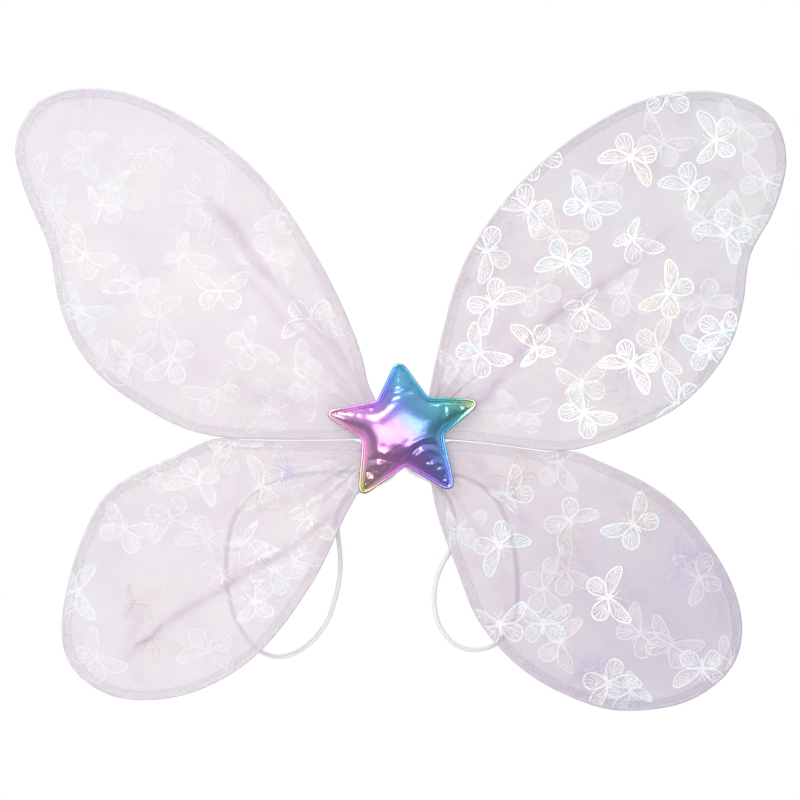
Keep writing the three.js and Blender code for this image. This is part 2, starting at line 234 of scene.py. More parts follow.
def round_cord(name, line, diameter, material):
    data = bpy.data.curves.new(name, "CURVE")
    data.dimensions = "3D"
    data.bevel_depth = diameter / 2
    data.bevel_resolution = 4
    data.use_fill_caps = True
    spline = data.splines.new("POLY")
    spline.points.add(len(line) - 1)
    for point, place in zip(spline.points, line):
        point.co = (*place, 1)
    spline.use_smooth = True
    data.materials.append(material)
    piece = bpy.data.objects.new(name, data)
    bpy.context.scene.collection.objects.link(piece)
    return piece


for side_name, route in strap_routes.items():
    line = smooth_line(np.array(route) * MM, 6)
    strap = round_cord(f"{side_name}_elastic_loop", line, STRAP_DIAMETER, elastic_cover)
    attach(strap, "hub")
    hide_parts(f"{side_name}_strap")


# ---- wing wires ----------------------------------------------------------------------------------
# Spring steel wire with a white plastic coat. Each wing's wire is one closed loop: round the wing, and
# through the hub, where a U of it is clamped. It bends where it leaves the hub.
WIRE_DIAMETER = 1.8 * MM
TUBE_SIDES = 8                 # corners of a section of the frame's own wire
BEND_X = 17 * MM               # the upright line, each side, that the wings fold about
WING_NAMES = ("upper_left", "lower_left", "upper_right", "lower_right")


def section_centres(node, gap_at):
    """The middle line of a bent wire in the frame, from one end round to the other. gap_at is the
    point, seen from its middle, that the gap between its two ends faces. The higher end is first."""
    corners = np.array([v.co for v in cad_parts[node].data.vertices])
    corners = np.unique(np.round(corners, 6), axis=0)
    middle = corners.mean(axis=0)
    facing = math.atan2(gap_at[1] - middle[2], gap_at[0] - middle[0])
    turn = np.arctan2(corners[:, 2] - middle[2], corners[:, 0] - middle[0]) - facing
    order = np.argsort(turn % (2 * math.pi))
    line = corners[order].reshape(-1, TUBE_SIDES, 3).mean(axis=1)
    return line if line[0, 2] > line[-1, 2] else line[::-1]


def new_piece(name, points, faces, material, smooth=True):
    data = bpy.data.meshes.new(name)
    data.from_pydata([tuple(p) for p in points], [], [tuple(int(i) for i in f) for f in faces])
    data.materials.append(material)
    data.polygons.foreach_set("use_smooth", [smooth] * len(data.polygons))
    data.update()
    piece = bpy.data.objects.new(name, data)
    bpy.context.scene.collection.objects.link(piece)
    return piece


def closed_tube(line, radius, sides):
    """Points and faces of a round bar along a closed line that lies nearly in the XZ plane."""
    along = np.roll(line, -1, axis=0) - np.roll(line, 1, axis=0)
    along /= np.linalg.norm(along, axis=1)[:, None]
    across = np.cross(along, (0, 1, 0))
    across /= np.linalg.norm(across, axis=1)[:, None]
    upward = np.cross(across, along)
    angles = 2 * math.pi * np.arange(sides) / sides
    rings = (line[:, None] + radius * (np.cos(angles)[None, :, None] * across[:, None]
                                       + np.sin(angles)[None, :, None] * upward[:, None]))
    count = len(line)
    faces = [(a * sides + k, a * sides + (k + 1) % sides,
              (a + 1) % count * sides + (k + 1) % sides, (a + 1) % count * sides + k)
             for a in range(count) for k in range(sides)]
    return rings.reshape(-1, 3), faces


def coated_wire_paint():
    material, tree, skin = new_finish("white_coated_wire", {"Roughness": 0.38, "Coat Weight": 0.3,
                                                            "Coat Roughness": 0.25})
    place = add_node(tree, "TexCoord")
    scuffs = add_node(tree, "TexNoise", {"Scale": 160, "Detail": 5})
    shade = colour_ramp(tree, ((0.3, (0.70, 0.69, 0.74)), (0.6, (0.90, 0.89, 0.93))))
    raised = add_node(tree, "Bump", {"Strength": 0.2, "Distance": 0.1 * MM})
    connect(tree, (place, "Object", scuffs, "Vector"), (scuffs, "Fac", shade, "Fac"),
            (shade, "Color", skin, "Base Color"), (scuffs, "Fac", raised, "Height"),
            (raised, "Normal", skin, "Normal"))
    return material


wire_coat = coated_wire_paint()


def bend_with_wing(piece):
    """A piece that runs from the hub out into a wing: its transform is baked into its mesh."""
    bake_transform(piece)


wire_lines = {}
for wing in WING_NAMES:
    side = -1 if wing.endswith("left") else 1
    round_wing = section_centres(f"{wing}_wire", (side * BEND_X, 0))
    in_hub = section_centres(f"{wing}_wire_root", (side, 0))
    wire_lines[wing] = smooth_line(round_wing, 6)
    through_hub = smooth_line(np.vstack([round_wing[-1:], in_hub[::-1], round_wing[:1]]), 3)
    loop = np.vstack([wire_lines[wing], through_hub[1:-1]])
    points, faces = closed_tube(loop, WIRE_DIAMETER / 2, 12)
    wire = new_piece(f"{wing}_wire_loop", points, faces, wire_coat)
    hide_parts(f"{wing}_wire", f"{wing}_wire_root")
    bend_with_wing(wire)


# ---- organza -------------------------------------------------------------------------------------
# Two layers of sheer nylon organza on each wing, cut to its outline and pulled over the wire, so that
# the edge of each wraps it. Both are gathered at the root, which throws pleats out into the wing, and
# long creases stay in them from the folded pack.
WIRE_PLANE = -7.0 * MM         # the wires' depth at the hub
BOW_START = 50 * MM
BOW_SPAN = 190 * MM
TIP_BOW = 14 * MM              # how far the tips come forward
CASING = WIRE_DIAMETER / 2 + 0.3 * MM
ROOT_EDGE = 12 * MM            # the cloth runs this near to the middle, inside the hub
AROUND = 400
FIELD_RINGS = 54
FIELD_EDGE = 2.2 * MM          # from here out to the wire the cloth rises over its casing
ROOTS = {"upper_left": (-14, 6), "lower_left": (-14, -12), "upper_right": (14, 6), "lower_right": (14, -12)}

# each crease: its line from the root outwards, its height and half width in millimetres, and how dark its
# painted shade is
CREASES = {
    "upper_right": [
        ([(34, 14), (49, 22), (99, 76), (137, 103), (187, 145)], 2.6, 3.6, 1.0),
        ([(38, 28), (70, 82), (92, 128)], 0.8, 5.0, 0.25),
        ([(60, 14), (110, 26), (150, 48)], 0.7, 6.0, 0.25)],
    "upper_left": [
        ([(-22, 26), (-70, 84), (-108, 127), (-135, 160)], 2.2, 3.0, 0.9),
        ([(-30, 24), (-80, 76), (-116, 114), (-150, 140)], 1.4, 3.2, 0.5),
        ([(-46, 10), (-110, 30), (-160, 60)], 0.6, 6.0, 0.2)],
    "lower_left": [
        ([(-30, -42), (-70, -71), (-105, -90), (-158, -127), (-186, -150)], 2.4, 3.2, 1.0),
        ([(-34, -26), (-78, -42), (-130, -46)], 0.9, 4.5, 0.3),
        ([(-160, -100), (-172, -140), (-150, -166)], 0.8, 4.0, 0.35)],
    "lower_right": [
        ([(40, -10), (54, -30), (74, -56), (90, -84)], 1.8, 3.4, 0.7),
        ([(142, -30), (170, -58), (192, -96), (200, -132)], 1.6, 5.0, 0.6),
        ([(32, -32), (52, -82), (84, -134)], 0.9, 4.5, 0.35)],
}


def bow(x):
    past = np.clip((np.abs(x) - BOW_START) / BOW_SPAN, 0, None)
    return WIRE_PLANE - TIP_BOW * past**2


def soft_noise(x, z, wavelength, seed):
    """A smooth uneven surface between about -1 and 1, the same each time."""
    draw = np.random.default_rng(seed)
    total = np.zeros_like(x)
    for _ in range(7):
        heading = draw.uniform(0, 2 * math.pi)
        pace = 2 * math.pi / (wavelength * draw.uniform(0.7, 1.5))
        start = draw.uniform(0, 2 * math.pi)
        total += np.sin(pace * (x * math.cos(heading) + z * math.sin(heading)) + start)
    return total / 3.2


def distance_to(line, x, z):
    """How far each place is from a line of points, and how far along the line its nearest point is."""
    nearest = np.full(x.shape, 1e9)
    share = np.zeros(x.shape)
    for i, ((ax, az), (bx, bz)) in enumerate(zip(line[:-1], line[1:])):
        dx, dz = bx - ax, bz - az
        t = np.clip(((x - ax) * dx + (z - az) * dz) / (dx * dx + dz * dz), 0, 1)
        away = np.hypot(x - ax - t * dx, z - az - t * dz)
        share = np.where(away < nearest, (i + t) / (len(line) - 1), share)
        nearest = np.minimum(away, nearest)
    return nearest, share


def ease(value, low, high):
    t = np.clip((value - low) / (high - low), 0, 1)
    return t * t * (3 - 2 * t)


def folds(wing, x, z, seed):
    """How far folds and pleats push the cloth forward at each place, and how much it is gathered there, with
    painted shade along the creases.
    """
    push = np.zeros_like(x)
    bunched_and_crease_shade = np.zeros_like(x)
    wander = 2.2 * MM * soft_noise(x, z, 60 * MM, 5)
    for line, height, half_width, dark in CREASES[wing]:
        line = smooth_line([(px * MM, 0, pz * MM) for px, pz in line], 8)[:, [0, 2]]
        away, along = distance_to(line, x + wander, z)
        fade = ease(along, 0, 0.12) * ease(1 - along, 0, 0.3)
        broken = 0.75 + 0.25 * soft_noise(x, z, 30 * MM, 11)
        ridge = np.exp(-(away / (half_width * MM)) ** 1.6)
        push += height * MM * ridge * fade * broken
        # painted shade: the cloth is marked darker and milkier along each crease line
        bunched_and_crease_shade += dark * np.exp(-(away / (1.1 * half_width * MM)) ** 2) * fade * broken
    root_x, root_z = ROOTS[wing][0] * MM, ROOTS[wing][1] * MM
    reach = np.hypot(x - root_x, z - root_z)
    angle = np.arctan2(z - root_z, np.abs(x) - abs(root_x)) + 0.05 * soft_noise(x, z, 70 * MM, seed + 3)
    pleats = np.sin(2 * math.pi * 5.3 * angle + seed) + 0.45 * np.sin(2 * math.pi * 9.1 * angle + 2 * seed)
    strength = np.exp(-reach / (42 * MM)) * ease(np.abs(x), 13 * MM, 34 * MM)
    push += 1.1 * MM * pleats * strength
    bunched_and_crease_shade += 0.65 * np.exp(-reach / (28 * MM)) * (0.8 + 0.2 * pleats)
    push += 0.75 * MM * soft_noise(x, z, 75 * MM, seed) + 0.22 * MM * soft_noise(x, z, 22 * MM, seed + 1)
    return push, np.clip(bunched_and_crease_shade, 0, 1.2)


def inward_directions(loop):
    along = np.roll(loop, -1, axis=0) - np.roll(loop, 1, axis=0)
    normal = np.stack([-along[:, 2], along[:, 0]], axis=1)
    normal /= np.linalg.norm(normal, axis=1)[:, None]
    middle = loop[:, [0, 2]].mean(axis=0)
    if ((middle - loop[:, [0, 2]]) * normal).sum() < 0:
        normal = -normal
    return normal


def run_along(line):
    """How far along a line each of its points is."""
    return np.concatenate([[0], np.cumsum(np.linalg.norm(np.diff(line, axis=0), axis=1))])


def resampled(line, count):
    """The same closed line in equal steps."""
    closed = np.vstack([line, line[:1]])
    run = run_along(closed)
    at = np.linspace(0, run[-1], count, endpoint=False)
    return np.stack([np.interp(at, run, closed[:, k]) for k in range(3)], axis=1)


outlines = {}
for wing in WING_NAMES:
    in_hub = section_centres(f"{wing}_wire_root", (-1 if wing.endswith("left") else 1, 0))
    upper_end = in_hub[:len(in_hub) // 2]
    lower_end = in_hub[len(in_hub) // 2:]
    upper_end = upper_end[np.abs(upper_end[:, 0]) > ROOT_EDGE]
    lower_end = lower_end[np.abs(lower_end[:, 0]) > ROOT_EDGE]
    outlines[wing] = resampled(np.vstack([upper_end[::-1], wire_lines[wing][1:-1], lower_end[::-1]]), AROUND)


def depth_inside(loop, flat):
    """How far each place is from the nearest part of the wire."""
    nearest = np.full(len(flat), 1e9)
    for start in range(0, len(flat), 2000):
        part = flat[start:start + 2000]
        away = part[:, None] - loop[None, ::2][:, :, [0, 2]]
        nearest[start:start + 2000] = np.sqrt((away**2).sum(axis=2).min(axis=1))
    return nearest


def untangled(rim, middle):
    """The same rim, evened out where its points run backwards as seen from the middle."""
    spokes = rim - middle
    following = np.roll(spokes, -1, axis=0)
    turn = spokes[:, 0] * following[:, 1] - spokes[:, 1] * following[:, 0]
    backwards = turn * np.sign(np.median(turn)) <= 0
    near = np.any([np.roll(backwards, shift) for shift in range(-4, 5)], axis=0)
    place = np.arange(len(rim))
    return np.stack([np.interp(place, place[~near], rim[~near, k], period=len(rim)) for k in (0, 1)], axis=1)


def cloth_layer(wing, facing, seed):
    """The points, faces and thickening of one layer, with painted shade along its creases. facing is -1 for
    the front layer, 1 for the back.
    """
    loop = outlines[wing]
    inward = inward_directions(loop)
    middle = loop[:, [0, 2]].mean(axis=0)
    inner_edge = untangled(loop[:, [0, 2]] + inward * FIELD_EDGE, middle)
    nearness = 1 - (1 - np.linspace(0, 1, FIELD_RINGS + 1)[1:]) ** 1.25
    flat = np.concatenate([[middle]] + [middle + (inner_edge - middle) * r for r in nearness]
                          + [loop[:, [0, 2]] + inward * 1.5 * MM])
    x, z = flat[:, 0], flat[:, 1]
    depth = depth_inside(loop, flat)
    push, bunched_and_crease_shade = folds(wing, x, z, seed)
    out_of_hub = ease(np.abs(x), 12 * MM, 26 * MM)
    free = ease(depth, 1.5 * MM, 16 * MM) * out_of_hub
    around = np.concatenate([[0], np.tile(np.arange(AROUND), FIELD_RINGS + 1)])
    pucker = 0.14 * MM * np.sin(around * 2 * math.pi / AROUND * 90 + 2 * np.sin(around * 0.31))
    pucker *= ease(depth, 1 * MM, 3 * MM) * (1 - ease(depth, 5 * MM, 15 * MM)) * out_of_hub
    gap = CASING - (CASING - 0.75 * MM) * ease(depth, 1.5 * MM, 12 * MM)
    gap += 0.5 * MM * (1 + soft_noise(x, z, 90 * MM, seed + 9)) * free
    y = bow(x) + facing * gap - push * free + facing * pucker
    points = [np.stack([x, y, z], axis=1)]
    bunching_and_crease_shade = [bunched_and_crease_shade]
    for angle in (60, 90, 125, 160, 180):
        turned = math.radians(angle)
        flat = loop[:, [0, 2]] + inward * CASING * math.cos(turned)
        push, bunched_and_crease_shade = folds(wing, flat[:, 0], flat[:, 1], seed)
        edge_depth = loop[:, 1] + facing * CASING * math.sin(turned)
        points.append(np.stack([flat[:, 0], edge_depth, flat[:, 1]], axis=1))
        bunching_and_crease_shade.append(bunched_and_crease_shade)
    made = np.vstack(points)
    rows_made = (len(made) - 1) // AROUND
    faces = [(0, 1 + k, 1 + (k + 1) % AROUND) for k in range(AROUND)]
    for row in range(rows_made - 1):
        first = 1 + row * AROUND
        faces += [(first + k, first + AROUND + k,
                   first + AROUND + (k + 1) % AROUND, first + (k + 1) % AROUND) for k in range(AROUND)]
    return made, faces, np.concatenate(bunching_and_crease_shade)


def organza_cloth(name, cover):
    """Sheer lilac organza: a fine open weave in a colour set at each point, which holds painted light and
    shade. It is milkier and deeper pink where gathered thick, and along its creases, where that is painted
    shade.
    """
    material, tree, skin = new_finish(name, {"Roughness": 0.5, "Specular IOR Level": 0.35,
                                             "Sheen Weight": 0.35, "Sheen Roughness": 0.4})
    place = add_node(tree, "TexCoord")
    dye_and_painted_light = add_node(tree, "Attribute", attribute_name="dye_and_painted_light")
    bunched_and_crease_shade = add_node(tree, "Attribute", attribute_name="bunched_and_crease_shade")
    patch = add_node(tree, "TexNoise", {"Scale": 26, "Detail": 5, "Roughness": 0.6})
    tone = colour_ramp(tree, ((0.32, (0.93, 0.86, 0.96)), (0.66, (1.0, 1.0, 1.0))))
    # painted shade: the colour is mixed towards a deeper pink along the creases; at the gathered root and in
    # the hems, the deeper pink comes from the real extra cloth
    dyed_and_painted_light = add_node(tree, "Mix", {"Factor": 0.75}, data_type="RGBA", blend_type="MULTIPLY")
    bunched_and_crease_shade_tint = add_node(tree, "Mix", {"B": (0.60, 0.44, 0.60, 1)}, data_type="RGBA")
    part = add_node(tree, "Math", {1: 0.55}, operation="MULTIPLY")
    connect(tree, (place, "Object", patch, "Vector"), (patch, "Fac", tone, "Fac"),
            (dye_and_painted_light, "Color", dyed_and_painted_light, "A"), (tone, "Color", dyed_and_painted_light, "B"), (bunched_and_crease_shade, "Fac", part, 0),
            (part, 0, bunched_and_crease_shade_tint, "Factor"), (dyed_and_painted_light, "Result", bunched_and_crease_shade_tint, "A"),
            (bunched_and_crease_shade_tint, "Result", skin, "Base Color"))

    yarns = []
    for axis in ("X", "Z"):
        yarn = add_node(tree, "TexWave", {"Scale": 620, "Distortion": 0.4}, bands_direction=axis)
        connect(tree, (place, "Object", yarn, "Vector"))
        yarns.append(yarn)
    woven = add_node(tree, "Math", operation="MAXIMUM")
    connect(tree, (yarns[0], "Fac", woven, 0), (yarns[1], "Fac", woven, 1))
    raised = add_node(tree, "Bump", {"Strength": 0.25, "Distance": 0.1 * MM})
    connect(tree, (woven, 0, raised, "Height"), (raised, "Normal", skin, "Normal"))
    threads = add_node(tree, "Math", {1: 0.16, 2: cover - 0.1}, operation="MULTIPLY_ADD")
    milky = add_node(tree, "Math", {1: 0.2}, operation="MULTIPLY_ADD")
    connect(tree, (woven, 0, threads, 0), (bunched_and_crease_shade, "Fac", milky, 0), (threads, 0, milky, 2),
            (milky, 0, skin, "Alpha"))
    return material


def dye_and_painted_light_at(x, z):
    """The cloth's colour at each place: pinker towards the left and bluer at the tips, with painted light
    making it lighter at the upper left and painted shade making it darker towards the right, deepest at the
    lower right.
    """
    # painted light and shade: the cloth is drawn lighter at the upper left and darker towards the right,
    # darkest at the lower right
    across = ease(x, -180 * MM, 160 * MM)
    outward = ease(np.hypot(x, z), 90 * MM, 260 * MM)
    painted_shade_low_right = ease(x, -20 * MM, 150 * MM) * ease(-z, -10 * MM, 110 * MM)
    painted_light_top_left = ease(-x, -20 * MM, 120 * MM) * ease(z, 0, 100 * MM)
    left, right = np.array([0.715, 0.65, 0.68]), np.array([0.655, 0.60, 0.63])
    colour = left + (right - left) * across[:, None]
    colour += outward[:, None] * np.array([-0.03, 0.0, 0.0])
    colour += painted_light_top_left[:, None] * np.array([0.06, 0.065, 0.06])
    colour += painted_shade_low_right[:, None] * np.array([-0.16, -0.18, -0.12])
    return colour


def tint(piece, colours, name="dye_and_painted_light"):
    layer = piece.data.color_attributes.new(name, "FLOAT_COLOR", "POINT")
    layer.data.foreach_set("color", np.hstack([colours, np.ones((len(colours), 1))]).ravel())


def mark(piece, values, name="bunched_and_crease_shade"):
    layer = piece.data.attributes.new(name, "FLOAT", "POINT")
    layer.data.foreach_set("value", np.asarray(values, np.float32))


cloths = {"front": organza_cloth("organza_front", 0.47), "back": organza_cloth("organza_back", 0.42)}
layers = {}
for number, wing in enumerate(WING_NAMES):
    loop = outlines[wing]
    for facing, face in ((-1, "front"), (1, "back")):
        points, faces, bunching_and_crease_shade = cloth_layer(wing, facing, 10 * number + facing + 1)
        cloth = new_piece(f"{wing}_{face}_cloth", points, faces, cloths[face])
        tint(cloth, dye_and_painted_light_at(points[:, 0], points[:, 2]))
        mark(cloth, bunching_and_crease_shade)
        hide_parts(f"{wing}_{face}_organza")
        layers[wing, facing] = cloth
        bend_with_wing(cloth)


# ---- foil butterflies ----------------------------------------------------------------------------
# Pearly foil is pressed hot onto the outer side of both layers in a loose pattern of butterflies:
# lace-like outlines with veins, turned every way. Wings cut across them at the hems.
FORE_WING = [(0.9, 1.2), (4.2, 4.6), (8.6, 8.0), (13.2, 10.8), (17.4, 12.2), (19.4, 11.4), (18.9, 8.0),
             (17.2, 4.2), (14.2, 1.2), (10.2, -0.4), (5.4, -0.4), (1.0, -0.1)]
HIND_WING = [(1.0, -0.5), (4.8, -1.2), (9.2, -1.3), (12.8, -2.9), (14.6, -6.2), (14.0, -10.2),
             (11.2, -12.8), (7.4, -12.8), (4.2, -10.4), (1.9, -6.4), (0.8, -2.6)]
VEINS = [[(1.0, 0.9), (4.6, 3.7), (8.6, 6.2)], [(1.0, 0.5), (5.0, 2.2), (9.0, 3.4)],
         [(8.6, 6.2), (9.6, 4.8), (9.0, 3.4)], [(8.6, 6.2), (13.0, 9.6), (17.4, 12.4)],
         [(9.1, 5.6), (14.0, 8.6), (18.8, 11.2)], [(9.4, 4.8), (13.8, 6.6), (18.0, 8.2)],
         [(9.2, 4.0), (12.8, 4.6), (15.9, 5.0)], [(8.4, 3.2), (11.0, 2.6), (13.4, 2.7)],
         [(14.4, 11.6), (15.9, 8.0), (14.4, 3.9)], [(16.6, 12.4), (17.6, 9.6), (16.6, 6.4)],
         [(1.1, -1.2), (3.8, -2.4), (6.2, -3.4)], [(6.2, -3.4), (9.4, -2.6), (12.4, -2.9)],
         [(6.2, -3.4), (10.4, -4.6), (14.3, -5.8)], [(6.0, -3.7), (10.0, -6.4), (13.9, -9.2)],
         [(5.6, -4.1), (8.8, -8.0), (11.6, -11.8)], [(4.8, -4.1), (7.0, -8.4), (8.6, -11.8)],
         [(3.6, -3.4), (5.0, -7.0), (6.2, -10.4)], [(6.2, -3.4), (11.6, -3.6), (13.8, -4.4)],
         [(6.0, -3.6), (12.0, -7.0), (14.6, -7.8)], [(5.8, -3.9), (9.8, -8.8), (12.8, -10.8)]]
BODY = [(0, 3.6), (0, 1.0), (0, -3.0), (0, -8.0)]
FEELER = [(0.4, 3.6), (1.6, 6.4), (3.6, 8.8)]
OUTLINE_WIDTH = 1.15
VEIN_WIDTH = 0.5
BODY_WIDTH = 1.5
PRINT_SIZE = 0.92
FILM = 0.12                    # how solid the thin film of foil between the veins is
STEP = 1.6 * MM                # how closely a foil line follows the cloth under it
PRINT_LIFT = 0.14 * MM

# each print: its place in millimetres, which way its head points in degrees, its colour, and how far
# it's turned away on its left side (1 is flat on)
PRINTS = {
    "upper_right": [
        (143, 171, -117, "gold_tip", 1), (163, 181, 60, "faint", 1), (195, 182, 180, "white", 0.8),
        (211, 189, 60, "faint", 1), (116, 142, 56, "cyan_tip", 0.9), (123, 155, 100, "faint", 0.9),
        (96, 125, 50, "blush", 1), (79, 139, -130, "white", 0.8), (53, 113, 200, "white", 1),
        (103, 106, -108, "cyan_tip", 1), (144, 121, 40, "white", 0.45), (180, 152, -130, "white", 0.5),
        (202, 123, 230, "cyan", 0.9), (188, 132, 100, "faint", 0.6), (214, 132, 60, "faint", 1),
        (57, 80, -48, "white", 1), (83, 88, 120, "faint", 1), (166, 87, 148, "gold_tip", 1),
        (188, 80, -60, "faint", 1), (140, 88, 20, "faint", 0.6), (114, 78, 20, "white", 0.45),
        (106, 60, -60, "faint", 0.8), (143, 42, -121, "bright", 1), (160, 52, 12, "blush", 1),
        (83, 52, 195, "gold_tip", 0.5), (49, 50, 45, "white", 0.9), (114, 12, 50, "cyan_tip", 1),
        (112, 31, 100, "blush", 0.8), (191, 52, 100, "cyan", 0.9), (200, 62, -80, "white", 0.7),
        (74, 13, 80, "faint", 0.9), (171, 18, 170, "cyan", 0.8), (165, 211, 90, "white", 0.9),
        (84, 172, 120, "white", 0.9), (226, 157, 70, "faint", 1), (34, 42, 100, "faint", 0.6)],
    "upper_left": [
        (-197, 111, 50, "gold_tip", 0.95), (-166, 89, -120, "white", 0.9), (-144, 46, 160, "white", 1),
        (-170, 48, 100, "white", 0.5), (-114, 89, 90, "bright", 0.9), (-136, 111, 45, "white", 0.5),
        (-83, 108, -120, "white", 1), (-77, 137, 160, "white", 0.8), (-57, 70, -90, "bright", 0.9),
        (-95, 55, 30, "white", 0.8), (-127, 145, -120, "faint", 1), (-120, 132, 30, "faint", 0.8),
        (-197, 176, -10, "white", 0.7), (-157, 175, 100, "faint", 0.9), (-226, 156, 20, "faint", 0.9),
        (-214, 133, 20, "faint", 1), (-200, 76, 60, "cyan", 0.9), (-188, 142, 90, "white", 0.4),
        (-177, 153, 20, "white", 0.4), (-113, 173, -150, "faint", 1), (-117, 26, 120, "faint", 1),
        (-83, 14, 170, "faint", 0.9), (-54, 27, -40, "white", 0.5), (-66, 38, 140, "white", 0.4),
        (-187, 41, 30, "faint", 0.8), (-151, 72, -10, "faint", 0.8), (-44, 74, 80, "faint", 0.7)],
    "lower_left": [
        (-173, -60, 62, "white", 0.9), (-202, -99, 0, "cyan_tip", 0.9), (-127, -31, -110, "white", 0.8),
        (-106, -6, -60, "gold_tip", 0.9), (-144, -54, -70, "faint", 0.9), (-88, -34, 170, "gold_tip", 0.9),
        (-71, -24, 60, "violet_gold", 0.8), (-57, -53, 20, "gold_tip", 0.6), (-96, -67, 35, "white", 0.35),
        (-121, -68, -120, "faint", 0.9), (-112, -90, 10, "faint", 0.8), (-80, -86, 60, "white", 0.9),
        (-67, -80, -60, "cyan", 0.8), (-92, -106, 180, "white", 0.7), (-121, -136, -100, "faint", 1),
        (-168, -106, 80, "brown", 0.25), (-33, -29, 90, "white", 0.8), (-154, -24, 140, "faint", 0.7),
        (-190, -140, 40, "faint", 0.9), (-156, -128, 35, "brown", 0.2), (-114, -15, 180, "faint", 0.8)],
    "lower_right": [
        (144, -57, 135, "cyan_tip", 1), (105, -56, -42, "cyan", 0.9), (61, -71, -50, "cyan_tip", 0.95),
        (129, -103, 10, "bright", 1), (173, -83, 150, "violet", 0.9), (185, -91, 200, "faint", 0.8),
        (104, -71, 200, "brown", 0.8), (103, -86, 30, "faint", 0.9), (69, -31, 130, "brown", 0.4),
        (66, -40, 135, "white", 0.35), (98, -19, 0, "blush", 0.6), (153, -51, -20, "brown", 0.7),
        (88, -119, 90, "cyan", 0.8), (89, -98, 10, "faint", 0.9), (99, -131, -10, "blush", 0.9),
        (61, -120, 100, "white", 0.8), (35, -60, 90, "cyan", 0.4), (149, -125, 45, "faint", 0.9),
        (168, -132, 60, "faint", 1), (187, -148, -90, "white", 0.8), (129, -157, -60, "gold_tip", 1),
        (122, -146, 120, "violet", 0.8), (205, -142, 60, "faint", 0.7), (143, -162, -60, "cyan", 0.5)],
}
# the foil's colour near the body and out at the tips, and how opaque it is drawn
FOIL_LOOKS = {
    "bright": ((1.0, 1.0, 1.0), (1.0, 1.0, 1.0), 0.88),
    "white": ((1.0, 1.0, 1.0), (1.0, 0.99, 1.0), 0.66),
    "cyan": ((0.95, 1.0, 1.0), (0.86, 0.97, 1.0), 0.58),
    "cyan_tip": ((1.0, 1.0, 0.99), (0.84, 0.98, 1.0), 0.76),
    "gold_tip": ((1.0, 1.0, 1.0), (1.0, 0.97, 0.83), 0.78),
    "blush": ((1.0, 0.98, 0.97), (1.0, 0.95, 0.88), 0.5),
    "faint": ((1.0, 0.99, 1.0), (0.98, 0.99, 1.0), 0.36),
    "violet": ((0.46, 0.40, 0.68), (0.60, 0.53, 0.80), 0.42),
    "violet_gold": ((0.50, 0.42, 0.85), (1.0, 0.98, 0.84), 0.75),
    "brown": ((0.66, 0.50, 0.48), (0.72, 0.62, 0.46), 0.45),
}
LEFT_FADE = 0.52               # the print on the left wings is fainter
LOW_FADE = 0.62                # and so is the one on the lower right wing
BACK_PRINTS = 17               # prints on each wing's back layer, scattered


def butterfly_lines():
    """Every foil line of one butterfly: its points in millimetres and its width."""
    lines = []
    for outline in (FORE_WING, HIND_WING):
        loop = smooth_line([(u, 0, v) for u, v in outline + outline[:1]], 4)[:, [0, 2]]
        lines.append((loop, OUTLINE_WIDTH))
    lines += [(smooth_line([(u, 0, v) for u, v in vein], 3)[:, [0, 2]], VEIN_WIDTH) for vein in VEINS]
    lines.append((np.array(FEELER), VEIN_WIDTH * 0.8))
    both = [(line * (side, 1), width, side) for line, width in lines for side in (1, -1)]
    return both + [(np.array(BODY), BODY_WIDTH, 1)]


def surface_of(cloth):
    return BVHTree.FromPolygons([v.co for v in cloth.data.vertices],
                                [p.vertices for p in cloth.data.polygons])


def on_cloth(surface, facing, x, z, turn, u, v):
    """Where a spot of a turned butterfly lands, a little proud of the cloth, or None past its edge."""
    px = (x + u * math.cos(turn) - v * math.sin(turn)) * MM
    pz = (z + u * math.sin(turn) + v * math.cos(turn)) * MM
    if abs(px) < 20 * MM:
        return None
    hit, _, _, _ = surface.ray_cast((px, facing * 0.2, pz), (0, -facing, 0))
    return None if hit is None else (px, hit.y + facing * PRINT_LIFT, pz)


